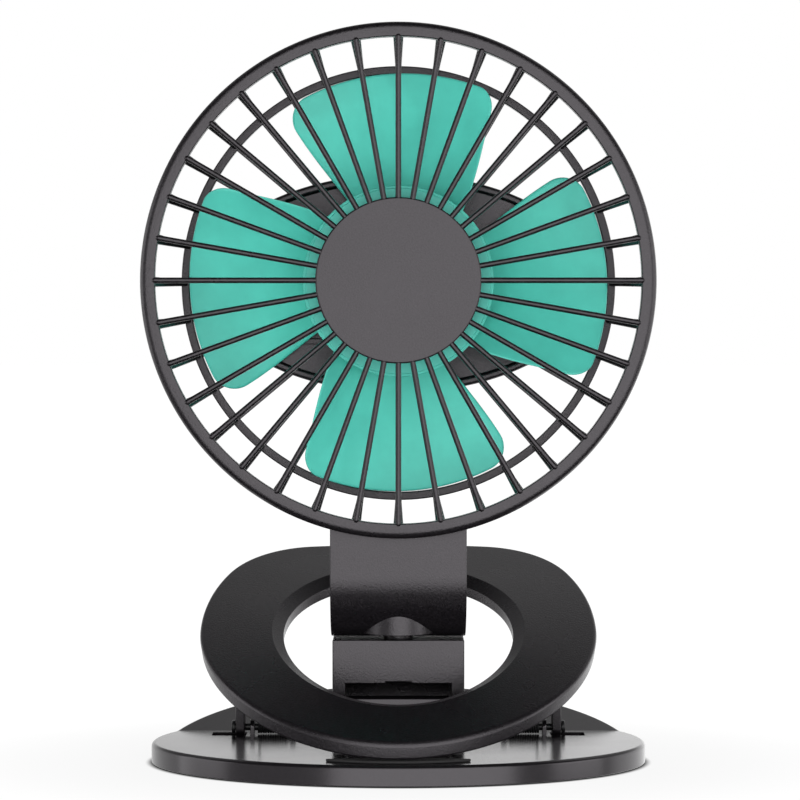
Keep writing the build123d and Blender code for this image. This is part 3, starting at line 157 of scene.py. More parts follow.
# jaw and its hinge
JAW_HALF_WIDTH = jaw_high[0]
JAW_HALF_DEPTH = jaw_high[1]
JAW_THICKNESS = 4.5
JAW_HEIGHTS = (11.9, 40.1, 61.6)
JAW_CORNER = 31.0
JAW_SIDE_CROWN = 3.9
JAW_REAR_CROWN = 1.2
JAW_SIDE_LEAN = 0.8
HOLE_HALF_WIDTH = 34.2
HOLE_HALF_DEPTH = 31.95
HOLE_Y = -0.25
HINGE_Y = 14.0
HINGE_LIFT = 2.2
HINGE_Z = BASE_TOP + HINGE_LIFT
POST_SHOULDER = (7.5, 20.5)
EAR_INSET = 12.8
EAR_INNER = JAW_HALF_WIDTH - EAR_INSET
EAR_THICKNESS = 2.7
EAR_OUTER = EAR_INNER + EAR_THICKNESS
EAR_RADIUS = 3.4
EAR_CLEARANCE = 0.4
LUG_RADIUS = 2.3
OUTER_LUG = (EAR_INNER - 2.9, EAR_INNER - 1.6)
INNER_LUG = (EAR_INNER - 15.3, EAR_INNER - 13.6)
PIN_RADIUS = 1.1

# bracket and arm
BRACKET_HALF_WIDTH = bracket_high[0]
CHEEK_THICKNESS = 3.78
BRACKET_WINDOW = BRACKET_HALF_WIDTH - CHEEK_THICKNESS
BRACKET_FRONT = bracket_low[1]
BRACKET_REAR = bracket_high[1]
BRACKET_TOP = 36.9
BRACKET_PLATE = 3.8
BRACKET_WEB = 2.0
BRACKET_SHOULDER = BRACKET_TOP - BRACKET_PLATE - 2
BRACKET_EAR = KNUCKLE_RADIUS - 0.2
KNUCKLE_CLEARANCE = 0.5
WINDOW_TOP = 24.0
SWIVEL_Y = 1.0
NECK_RADIUS = 4.5
ARM_HALF_WIDTH = arm_high[0]
ARM_FRONT = arm_low[1]
ARM_REAR = arm_high[1]
ARM_BOTTOM = arm_low[2]
ARM_THICKNESS = 4.0
ARM_BEND = 19.5
ARM_SCREW_X = 12
BOSS_HALF_WIDTH = 11.8
BOSS_ARCH = 7.0
BOSS_FLOOR = 1.3
BOSS_HEIGHT = 8.7


# ---- shapes ----
class Shell:
    """The skin of one piece, put together from patches of points in millimetres."""

    def __init__(self):
        self.points, self.faces, self.count = [], [], 0

    def keep(self, points):
        """Stores points and tells the number of the first."""
        points = np.asarray(points, float).reshape(-1, 3)
        self.points.append(points)
        self.count += len(points)
        return self.count - len(points)

    def grid(self, rows, around=True, along=False):
        """Four-sided faces between neighbouring rows; around closes each row, along joins last to first."""
        n, m = rows.shape[:2]
        index = self.keep(rows) + np.arange(n * m).reshape(n, m)
        if around:
            index = np.hstack((index, index[:, :1]))
        if along:
            index = np.vstack((index, index[:1]))
        quads = np.stack((index[:-1, :-1], index[:-1, 1:], index[1:, 1:], index[1:, :-1]), axis=-1)
        self.faces += quads.reshape(-1, 4).tolist()

    def cap(self, ring):
        """One flat face over a closed ring."""
        start = self.keep(ring)
        self.faces.append(list(range(start, start + len(ring))))

    def bar(self, rows):
        """Closed rows with a flat face at each end."""
        self.grid(rows)
        self.cap(rows[0])
        self.cap(rows[-1])

    def wall(self, place, ring, *depths):
        """The wall of a hole: its ring at each of the depths."""
        self.grid(np.stack([place(ring, depth) for depth in depths]))

    def plate(self, place, depth, outline, holes):
        """A flat face with holes: the outline and the holes are rings in the plane."""
        loops = [outline, *holes]
        start = self.keep(place(np.vstack(loops), depth))
        triangles = tessellate_polygon([[Vector((x, y, 0)) for x, y in loop] for loop in loops])
        self.faces += [[start + i for i in triangle] for triangle in triangles]


RIGHTWARD = np.array((1.0, 0.0, 0.0))
REARWARD = np.array((0.0, 1.0, 0.0))


def front(points, depth):
    """Points of the front view, centred on the head's axis, set at a depth."""
    return np.insert(points + (0, HEAD_Z), 1, depth, axis=1)


def side(points, across):
    """Points of the side view (depth, height), set at a distance to the right."""
    return np.insert(points, 0, across, axis=1)


def above(points, height):
    """Points of the plan (right, depth), set at a height."""
    return np.insert(points, 2, height, axis=1)


def moved(place, x, y):
    """The same placing, with the outline's middle moved."""
    return lambda points, depth: place(points + (x, y), depth)


def turned(place, angle):
    """The same placing, with the outline turned about its origin."""
    c, s = math.cos(angle), math.sin(angle)
    return lambda points, depth: place(points @ np.array(((c, s), (-s, c))), depth)


def radial(angle):
    """Directions away from the head's axis and across that, for an angle from straight up."""
    return np.array((math.sin(angle), 0, math.cos(angle))), np.array((math.cos(angle), 0, -math.sin(angle)))


def between(start, end, share):
    return start + (end - start) * share


def turn(count, start=0.0):
    """Equal steps round a full turn."""
    return start + np.arange(count) * 2 * np.pi / count


def circle(radius, count=12, start=0.0):
    t = turn(count, start)
    return radius * np.column_stack((np.cos(t), np.sin(t)))


def oval(half_width, half_height=None, count=96):
    """Outline function: an oval whose half axes are drawn in by the inset."""
    half_height = half_width if half_height is None else half_height
    return lambda inset: circle(1, count) * (half_width - inset, half_height - inset)


def drawn_in(outline):
    """Outline function: every point of an anticlockwise ring moved inwards, square to its neighbours."""
    along = np.roll(outline, -1, 0) - np.roll(outline, 1, 0)
    inward = np.column_stack((-along[:, 1], along[:, 0])) / np.linalg.norm(along, axis=1)[:, None]
    return lambda inset: outline + inset * inward


def rounded(corners, steps=4, closed=True):
    """A polyline of (x, y, radius) with each corner made an arc that touches both of its sides."""
    corners = np.asarray(corners, float)
    points = []
    for i, (x, y, radius) in enumerate(corners):
        if radius == 0 or (not closed and i in (0, len(corners) - 1)):
            points.append([(x, y)])
            continue
        corner = np.array((x, y))
        before = corners[i - 1][:2] - corner
        after = corners[(i + 1) % len(corners)][:2] - corner
        before, after = before / np.linalg.norm(before), after / np.linalg.norm(after)
        half = math.acos(np.clip(before @ after, -1, 1)) / 2
        middle = before + after
        centre = corner + middle / np.linalg.norm(middle) * radius / math.sin(half)
        first = corner + before * radius / math.tan(half) - centre
        last = corner + after * radius / math.tan(half) - centre
        sweep = math.pi - 2 * half
        share = np.linspace(0, 1, steps + 1)[:, None]
        points.append(centre + (np.sin((1 - share) * sweep) * first + np.sin(share * sweep) * last)
                      / math.sin(sweep))
    return np.vstack(points)


def box_outline(half_width, half_height, radius, steps=3):
    """An upright rectangle with round corners, anticlockwise."""
    return rounded([(half_width, half_height, radius), (-half_width, half_height, radius),
                    (-half_width, -half_height, radius), (half_width, -half_height, radius)], steps)


def stadium(length, width, count=32):
    """A slot's outline: two half circles joined by straight sides."""
    ring = circle(width / 2, count, -np.pi / 2)
    ring[:, 0] += np.where(np.arange(count) <= count / 2, 1, -1) * (length - width) / 2
    return ring


def hull(points):
    """The outline round a set of points, anticlockwise."""
    ring = points[convex_hull_2d([Vector(p) for p in points])]
    area = np.sum(ring[:, 0] * np.roll(ring[:, 1], -1) - ring[:, 1] * np.roll(ring[:, 0], -1))
    return ring if area > 0 else ring[::-1]


def divided(ring, step):
    """The same closed ring with points added along its long sides."""
    pieces = []
    for point, after in zip(ring, np.roll(ring, -1, 0)):
        count = max(1, math.ceil(np.linalg.norm(after - point) / step))
        pieces.append(between(point, after, (np.arange(count) / count)[:, None]))
    return np.vstack(pieces)


def edge_round(radius, steps=3):
    """A quarter round as (inset, depth), from the flat face to the side."""
    bend = np.linspace(0, np.pi / 2, steps + 1)
    return [(radius * (1 - math.sin(a)), radius * (1 - math.cos(a))) for a in bend]


def stack(shell, outline, profile, place, closed=False, caps=True):
    """A profile of (inset, depth) carried round an outline. Its ends are joined if closed, and else capped
    unless the piece closes them itself."""
    rows = np.stack([place(outline(inset), depth) for inset, depth in profile])
    if caps and not closed:
        shell.bar(rows)
    else:
        shell.grid(rows, along=closed)
    return rows


def slab(shell, outline, low, high, place, radius=0.3):
    """An outline given thickness from low to high, with both rims rounded."""
    sign = 1 if high > low else -1
    start = [(inset, low + sign * depth) for inset, depth in edge_round(radius)]
    end = [(inset, high + low - depth) for inset, depth in reversed(start)]
    stack(shell, outline, start + end, place)


def tube_wall(shell, place, outer, inner, low, high):
    """A short pipe: a closed profile turned about its axis."""
    wall, soften = outer - inner, 0.15
    profile = rounded([(0, high, soften), (0, low, soften), (wall, low, soften), (wall, high, soften)], 2)
    stack(shell, oval(outer, count=40), profile, place, closed=True)


def sweep(shell, path, section, across):
    """A section (side, up) carried along a path; across is the direction of its side."""
    along = np.gradient(path, axis=0)
    along /= np.linalg.norm(along, axis=1)[:, None]
    up = np.cross(along, across)[:, None]
    shell.bar(path[:, None] + section[:, :1] * across + section[:, 1:] * up)


def in_scene(name, data):
    """A new object in the scene."""
    thing = bpy.data.objects.new(name, data)
    bpy.context.scene.collection.objects.link(thing)
    return thing


def piece(name, shell, body, slot, node, sharp=38, finish=None):
    """A finished mesh from a shell: doubles merged, faces outwards, smooth but for its sharp edges."""
    same_point, no_length = 2e-6, 1e-6
    mesh = bpy.data.meshes.new(name)
    mesh.from_pydata(np.vstack(shell.points) / MM, [], shell.faces)
    work = bmesh.new()
    work.from_mesh(mesh)
    bmesh.ops.remove_doubles(work, verts=work.verts, dist=same_point)
    bmesh.ops.dissolve_degenerate(work, edges=work.edges, dist=no_length)
    bmesh.ops.recalc_face_normals(work, faces=work.faces)
    work.to_mesh(mesh)
    work.free()
    mesh.shade_smooth()
    mesh.set_sharp_from_angle(angle=math.radians(sharp))
    mesh.materials.append(finishes[finish or slot])
    thing = in_scene(name, mesh)
    even = thing.modifiers.new("even_normals", "WEIGHTED_NORMAL")
    even.keep_sharp = True
    if body:
        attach(thing, body)
    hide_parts(node)
    return thing


# ---- finishes ----
def feed(tree, socket, value):
    """Sets a socket to a value, or links another node's output to it."""
    if isinstance(value, bpy.types.NodeSocket):
        tree.links.new(value, socket)
    else:
        socket.default_value = value


def add(tree, kind, *in_order, **by_name):
    """A new node whose inputs are fed with values or with other nodes' outputs."""
    node = tree.nodes.new("ShaderNode" + kind)
    for socket, value in zip(node.inputs, in_order):
        feed(tree, socket, value)
    for label, value in by_name.items():
        feed(tree, node.inputs[label.replace("_", " ")], value)
    return node


def link(tree, *pairs):
    for source, target in pairs:
        tree.links.new(source, target)


def node_group(name, inputs, outputs):
    """An empty shader group with named number inputs (name: default) and number outputs."""
    group = bpy.data.node_groups.new(name, "ShaderNodeTree")
    kind = "NodeSocketFloat"
    for label, value in inputs.items():
        group.interface.new_socket(label, in_out="INPUT", socket_type=kind).default_value = value
    for label in outputs:
        group.interface.new_socket(label, in_out="OUTPUT", socket_type=kind)
    return group, group.nodes.new("NodeGroupInput").outputs, group.nodes.new("NodeGroupOutput").inputs


def noise(tree, place, scale, detail=3.0, roughness=0.55):
    """Noise at a place; scale is the number of its lumps in a metre."""
    node = add(tree, "TexNoise", Vector=place, Scale=scale, Detail=detail, Roughness=roughness)
    return node.outputs["Fac"]


def math_node(tree, operation, *values):
    node = add(tree, "Math", *values)
    node.operation = operation
    return node.outputs[0]


def moulded_skin():
    """Spark-eroded mould texture: fine grain, plus broad unevenness that shows in the gloss."""
    group, given, result = node_group("moulded_skin", {"Grain": 2600.0, "Unevenness": 0.06},
                                      ("Height", "Gloss", "Tone"))
    place = add(group, "TexCoord").outputs["Object"]
    patches, contrast, middle = 60.0, 2.5, 0.5
    grain = noise(group, place, given["Grain"], detail=4.0, roughness=0.6)
    broad = noise(group, place, patches, detail=2.0)
    gloss = math_node(group, "MULTIPLY", math_node(group, "SUBTRACT", broad, middle), given["Unevenness"])
    tone = math_node(group, "MULTIPLY_ADD", math_node(group, "SUBTRACT", grain, middle), contrast, middle)
    link(group, (grain, result["Height"]), (gloss, result["Gloss"]), (tone, result["Tone"]))
    return group


def brushed_skin():
    """Fine turned or brushed lines with a few broad stains."""
    group, given, result = node_group("brushed_skin", {"Fineness": 900.0}, ("Height", "Gloss"))
    place = add(group, "TexCoord").outputs["Object"]
    patches, line_stretch = 140.0, (1.0, 12.0, 1.0)
    stretched = add(group, "Mapping", Vector=place, Scale=line_stretch).outputs["Vector"]
    lines = noise(group, stretched, given["Fineness"], detail=2.0)
    stains = noise(group, place, patches)
    link(group, (lines, result["Height"]), (stains, result["Gloss"]))
    return group


def shader(name, color, roughness, **sockets):
    """A material with one principled shader; constant values sit on the shader's own sockets."""
    material = finishes[name] = bpy.data.materials.new(name)
    material.use_nodes = True
    surface = material.node_tree.nodes["Principled BSDF"]
    surface.inputs["Base Color"].default_value = (*color, 1)
    surface.inputs["Roughness"].default_value = roughness
    for label, value in sockets.items():
        surface.inputs[label.replace("_", " ")].default_value = value
    return material.node_tree, surface.inputs


def textured(tree, surface, group, depth, **values):
    """Adds a skin with its own values and turns its height into bumps; gives the skin's outputs."""
    skin = add(tree, "Group")
    skin.node_tree = group
    for label, value in values.items():
        skin.inputs[label].default_value = value
    bump = add(tree, "Bump", Strength=1.0, Distance=depth, Height=skin.outputs["Height"])
    link(tree, (bump.outputs["Normal"], surface["Normal"]))
    return skin.outputs


def plastic(name, color, roughness, grain, depth, tone=0.12, unevenness=0.08, **sockets):
    """Moulded plastic: grain in the bump and the colour, slow change in the gloss."""
    tree, surface = shader(name, color, roughness, **sockets)
    skin = textured(tree, surface, moulded, depth, Grain=grain, Unevenness=unevenness)
    shade = add(tree, "Mix")
    shade.data_type = "RGBA"
    shade.inputs["A"].default_value = (*(c * (1 - tone) for c in color), 1)
    shade.inputs["B"].default_value = (*(min(1, c * (1 + tone)) for c in color), 1)
    link(tree, (skin["Tone"], shade.inputs["Factor"]), (shade.outputs["Result"], surface["Base Color"]),
         (math_node(tree, "ADD", skin["Gloss"], roughness), surface["Roughness"]))


def metal(name, color, roughness, fineness, depth, stains=0.2):
    """Bare or plated metal with fine lines."""
    tree, surface = shader(name, color, roughness, Metallic=1.0)
    skin = textured(tree, surface, brushed, depth, Fineness=fineness)
    gloss = math_node(tree, "MULTIPLY_ADD", skin["Gloss"], stains, roughness - stains / 2)
    link(tree, (gloss, surface["Roughness"]))


finishes = {}
moulded, brushed = moulded_skin(), brushed_skin()
CHARCOAL = (0.0062, 0.0054, 0.0064)
COOL = (1.0, 0.945, 1.0, 1.0)
# name, colour, roughness, number of grains or lines in a metre, their depth in metres
plastic("body_plastic", CHARCOAL, 0.28, 1900.0, 0.00008, tone=0.85, Specular_Tint=COOL)
plastic("base_plastic", CHARCOAL, 0.2, 1800.0, 0.000006, tone=0.4, unevenness=0.05, Specular_Tint=COOL)
plastic("teal_plastic", (0.077, 0.52, 0.425), 0.36, 70.0, 0.00002, tone=0.09, Specular_IOR_Level=0.25)
plastic("rubber", (0.015, 0.014, 0.015), 0.75, 1800.0, 0.00006)
metal("steel", (0.33, 0.33, 0.345), 0.34, 900.0, 0.00001)
plastic("spring_steel", (0.010, 0.010, 0.011), 0.5, 1500.0, 0.00001, Specular_IOR_Level=0.2)
plastic("black_steel", (0.012, 0.012, 0.013), 0.35, 1500.0, 0.00001, Specular_IOR_Level=0.3)
metal("cell_wrap", (0.62, 0.64, 0.66), 0.3, 300.0, 0.00003)
plastic("wire", (0.45, 0.02, 0.015), 0.4, 900.0, 0.000006)
plastic("board", (0.01, 0.13, 0.05), 0.35, 900.0, 0.00002, tone=0.3)
plastic("switch_plastic", (0.015, 0.015, 0.015), 0.4, 1500.0, 0.00001)
shader("lens", (0.85, 0.93, 1.0), 0.08, Transmission_Weight=0.9, IOR=1.49)
plastic("button_plastic", (0.010, 0.0095, 0.0105), 0.26, 1500.0, 0.00002, tone=0.6)

for node, thing in frame["nodes"].items():
    wanted = next(row["material_slot"] for row in frame["record"]["subparts"] if row["node"] == node)
    thing.data.materials.clear()
    thing.data.materials.append(finishes[wanted])


# ---- front grille ----
def front_grille():
    """The rim and the disc are profiles turned about the axis, a spoke is a circle carried outwards that
    shrinks to nothing round its tip, and a catch is a small slab."""
    shell = Shell()
    rim = rounded([(0, RIM_BACK, 0.2), (0, RIM_FRONT, RIM_ROUND), (RIM_WIDTH, RIM_FRONT, 0.35),
                   (RIM_WIDTH, RIM_BACK, 0.2)])
    stack(shell, oval(HEAD_RADIUS, count=288), rim, front, closed=True)
    disc_front = RIM_FRONT - DISC_PROUD
    disc_back = disc_front + DISC_THICKNESS
    flat = 3
    disc = rounded([(flat, disc_front, 0), (0, disc_front, 0.55), (0, disc_back, 0.3), (flat, disc_back, 0)],
                   closed=False)
    stack(shell, oval(DISC_RADIUS, count=144), disc, front)

    bend = np.linspace(0, np.pi / 2, 4)
    reach = np.concatenate(([DISC_RADIUS - 1], SPOKE_TIP - SPOKE_RADIUS * (1 - np.sin(bend))))
    swell = np.concatenate(([1], np.cos(bend)))
    ring = circle(SPOKE_RADIUS)
    axis = np.array((0, RIM_FRONT - SPOKE_PROUD + SPOKE_RADIUS, HEAD_Z))
    for angle in turn(SPOKES):
        outward, aside = radial(angle)
        rows = (axis + reach[:, None, None] * outward
                + swell[:, None, None] * (ring[:, :1] * aside + ring[:, 1:] * REARWARD))
        shell.grid(rows)
        shell.cap(rows[0])

    catches, first, gap, sunk, half_thickness, half_width = 6, math.radians(15), 0.2, 0.2, 0.7, 4.0
    catch_radius = HEAD_RADIUS - BAND_WALL - gap - half_thickness
    catch = drawn_in(box_outline(half_thickness, half_width, 0.2) + (catch_radius, 0))
    for angle in turn(catches, first):
        slab(shell, catch, RIM_BACK - sunk, grille_high[1], turned(front, angle), 0.2)
    piece("grille_front", shell, "head", "body_plastic", "front_grille")


# ---- rear cage ----
pod_outline = oval(POD_HALF_WIDTH, POD_HALF_HEIGHT, 216)


def rear_cage():
    """Band and ring are profiles turned about the axis; the bars, the pod's wall and the seats join them."""
    shell = Shell()
    seam = RIM_BACK + 0.1
    band = rounded([(0, BAND_REAR, 0.3), (0, seam, 0.25), (BAND_WALL, seam, 0.25),
                    (BAND_WALL, BAND_REAR, 0.3)])
    stack(shell, oval(HEAD_RADIUS, count=288), band, front, closed=True)
    ring_back = RING_FRONT + RING_DEPTH
    ring = rounded([(0, ring_back, 0.5), (0, RING_FRONT, 0.4), (RING_WIDTH, RING_FRONT, 0.4),
                    (RING_WIDTH, ring_back, 0.5)])
    stack(shell, oval(RING_INNER + RING_WIDTH, count=216), ring, front, closed=True)
    cage_bars(shell)
    pod_front(shell)
    # seats for the arm's screws
    half_width, half_height, lift, seat_length, set_in = 3.0, 0.6, 0.9, 5, 0.1
    for x in (-ARM_SCREW_X, ARM_SCREW_X):
        z = lift - math.sqrt((HEAD_RADIUS - 1) ** 2 - x**2)
        seat = drawn_in(box_outline(half_width, half_height, 0.2) + (x, z))
        slab(shell, seat, BAND_REAR - seat_length, BAND_REAR - set_in, front, 0.2)
    piece("cage_rear", shell, "head", "body_plastic", "rear_cage")


def cage_bars(shell):
    """A rib runs from the band's rear edge back and in to the ring, narrower there, and a spoke goes on from
    the ring to the pod. Both are a round-edged section carried along a straight line."""
    band_half_width, band_half_depth, into_band, off_band_middle = 1.6, 0.95, 1, -0.15
    ring_half_width, ring_half_depth, into_ring, off_ring_middle = 0.85, 0.9, 0.6, 0.1
    share = np.linspace(0, 1, 4)[:, None, None]
    start = np.array((HEAD_RADIUS - BAND_WALL / 2 + off_band_middle, BAND_REAR - into_band))
    end = np.array((RING_INNER + RING_WIDTH / 2 + off_ring_middle, RING_FRONT + into_ring))
    slant = (end - start) / np.linalg.norm(end - start)
    square = np.array((-slant[1], slant[0]))
    section = box_outline(1.0, 1.0, 0.35, 2)
    half_width = between(band_half_width, ring_half_width, share)
    half_depth = between(band_half_depth, ring_half_depth, share)
    plane = between(start, end, share) + half_depth * section[:, 1:] * square

    spoke_half_width, spoke_half_depth, spoke_y = 0.75, 1.0, RING_FRONT + 1.4
    into_pod, spoke_end = 1, RING_INNER + 0.4
    spoke = box_outline(spoke_half_width, spoke_half_depth, 0.3, 2)
    for angle in turn(SPOKES):
        outward, aside = radial(angle)
        shell.bar((0, 0, HEAD_Z) + plane[..., :1] * outward + plane[..., 1:] * REARWARD
                  + half_width * section[:, :1] * aside)
        inner = 1 / math.hypot(outward[0] / (POD_HALF_WIDTH - into_pod),
                               outward[2] / (POD_HALF_HEIGHT - into_pod))
        path = (0, spoke_y, HEAD_Z) + np.array([[inner], [spoke_end]]) * outward
        sweep(shell, path, spoke, aside)


def pod_front(shell):
    """The pod's front wall with its lip and skirt, its holes, the two bars on it and the posts behind it."""
    flat, skirt = 8, POD_SEAM - 0.1
    wall = rounded([(flat, POD_PLATE_Y, 0), (POD_LIP, POD_PLATE_Y, 0.5), (POD_LIP, POD_LIP_Y, 0.7),
                    (0, POD_LIP_Y, 1.2), (0, skirt, 0.25), (POD_WALL, skirt, 0.2),
                    (POD_WALL, POD_PLATE_BACK, 0.4), (flat, POD_PLATE_BACK, 0)], closed=False)
    rows = stack(shell, pod_outline, wall, front, caps=False)
    shaft_hole, motor_screw, motor_screw_x = 3.2, 1.1, 8
    holes = [circle(shaft_hole, 24)]
    holes += [circle(motor_screw, 16) + (x, 0) for x in (-motor_screw_x, motor_screw_x)]
    for row, depth in ((rows[0], POD_PLATE_Y), (rows[-1], POD_PLATE_BACK)):
        shell.plate(front, depth, row[:, [0, 2]] - (0, HEAD_Z), holes)
    for hole in holes:
        shell.wall(front, hole, POD_PLATE_Y, POD_PLATE_BACK)

    bar_length, bar_width, bar_proud, bar_sunk, bar_x, bar_z = 9.5, 1.8, 1.0, 0.3, 27.5, -17.5
    for x in (-bar_x, bar_x):
        bar = drawn_in(stadium(bar_length, bar_width) + (x, bar_z))
        slab(shell, bar, POD_PLATE_Y + bar_sunk, POD_PLATE_Y - bar_proud, front)
    post_radius, post_bore, post_start, post_end = 2.8, 1.15, POD_PLATE_BACK - 0.2, POD_INSIDE - 2.0
    for x, z in POD_SCREWS:
        tube_wall(shell, moved(front, x, z), post_radius, post_bore, post_start, post_end)


# ---- pod cover ----
def pod_cover():
    """An oval cup with a rounded rim; its flat back has holes for the button, lens, socket and screws."""
    shell = Shell()
    flat = POD_ROUND + 2
    cup = rounded([(flat, POD_REAR, 0), (0, POD_REAR, POD_ROUND), (0, POD_SEAM, 0.3),
                   (POD_WALL, POD_SEAM, 0.2), (POD_WALL, POD_INSIDE, POD_ROUND - POD_WALL),
                   (flat, POD_INSIDE, 0)], 8, closed=False)
    rows = stack(shell, pod_outline, cup, front, caps=False)
    head_room, screw_hole, button_hole, lens_hole = 2.5, 1.4, BUTTON_RADIUS + 0.1, 1.55
    socket_width, socket_height = 9.4, 3.7
    socket_hole = stadium(socket_width, socket_height)[:, ::-1] * (-1, 1) + (SOCKET_X, 0)
    others = [circle(button_hole, 48), circle(lens_hole, 24) + (LENS_X, 0), socket_hole]
    for row, depth, radius in ((rows[0], POD_REAR, head_room), (rows[-1], POD_INSIDE, screw_hole)):
        screws = [circle(radius, 32) + place for place in POD_SCREWS]
        shell.plate(front, depth, row[:, [0, 2]] - (0, HEAD_Z), others + screws)
    for hole in others:
        shell.wall(front, hole, POD_REAR, POD_INSIDE)
    for x, z in POD_SCREWS:
        place = moved(front, x, z)
        shell.grid(np.stack([place(circle(radius, 32), depth) for radius, depth in
                             ((head_room, POD_REAR), (head_room, POD_INSIDE), (screw_hole, POD_INSIDE))]))
    piece("pod_shell", shell, "head", "body_plastic", "pod_cover")


# ---- impeller ----
def blade(shell, quarter):
    """A twisted, cambered sheet over an outline in the front view.

    A point is (radius, angle from straight up). The left edge sweeps on with the radius and comes back, the
    right edge draws in from the root, and both tips have round corners. The chord line leans by an angle
    that grows from tip to root, the middle stands off it by a parabola, and the thickness falls to nothing
    round the edges."""
    left_root, left_sweep, left_return = -31, -8.9, 6.4
    right_tip, right_more, right_power = 28, 15.5, 1.6
    left_corner, right_corner = 7.4, 6.0
    tip_lean, more_lean, lean_power = 15, 18, 1.4
    lean_start, lean_height, lean_most = 4.7, 48, 1.2
    chord_middle, chord_slope, chord_most = 20, 0.45, 42
    camber = 0.14

    share = np.sin(np.linspace(0, np.pi / 2, 30))[:, None]
    radius = between(BLADE_ROOT, BLADE_TIP, share)

    def corner_cut(corner):
        """Angle that a round corner takes off the edge at each radius."""
        over = np.clip(radius - BLADE_TIP + corner, 0, None)
        return (corner - np.sqrt(corner**2 - over**2)) / radius

    left = np.radians(left_root + left_sweep * share + left_return * share**2) + corner_cut(left_corner)
    right = np.radians(right_tip + right_more * (1 - share) ** right_power) - corner_cut(right_corner)
    angle = between(left, right, (1 - np.cos(np.linspace(0, np.pi, 41))) / 2)
    x, z = radius * np.sin(angle), radius * np.cos(angle)

    fall = np.clip((BLADE_TIP + lean_start - z) / lean_height, 0, lean_most)
    lean = np.radians(tip_lean + more_lean * fall**lean_power)
    half_chord = np.minimum(chord_middle + chord_slope * z, chord_most)
    half_sheet = BLADE_THICKNESS / 2
    stand_off = half_sheet
    for _ in range(3):
        chord = (x - stand_off * np.sin(lean)) / np.cos(lean)
        stand_off = camber * half_chord * (1 - (chord / half_chord) ** 2) + half_sheet
    y = BLADE_MIDDLE - chord * np.sin(lean) + stand_off * np.cos(lean)

    edge = np.minimum(radius * (angle - left), radius * (right - angle))
    edge = np.minimum(edge, BLADE_TIP - radius)
    half = half_sheet * np.sqrt(1 - np.clip(1 - edge / half_sheet, 0, 1) ** 2)
    c, s = math.cos(quarter), math.sin(quarter)
    for depth in (y - half, y + half):
        shell.grid(np.stack((c * x + s * z, depth, HEAD_Z + c * z - s * x), axis=-1), around=False)


def impeller():
    """The hub is a cup turned about the axis, with a step round its front; the blades stand on its side."""
    shell = Shell()
    flat, step, wall, boss_rear = 10, 0.8, 1.6, 2.0
    boss, bore = HUB_RADIUS - 3.4, HUB_RADIUS - 1.2
    shelf, inside = HUB_FRONT + step, HUB_FRONT + wall
    hub = rounded([(flat, HUB_FRONT, 0), (step, HUB_FRONT, 0.3), (step, shelf, 0.15), (0, shelf, 0.3),
                   (0, HUB_REAR, 0.3), (wall, HUB_REAR, 0.3), (wall, inside, 0.6), (boss, inside, 0.5),
                   (boss, boss_rear, 0.3), (bore, boss_rear, 0)], 3, closed=False)
    stack(shell, oval(HUB_RADIUS, count=144), hub, front)
    for quarter in turn(4):
        blade(shell, quarter)
    piece("impeller_wheel", shell, "rotor", "teal_plastic", "impeller", sharp=50)


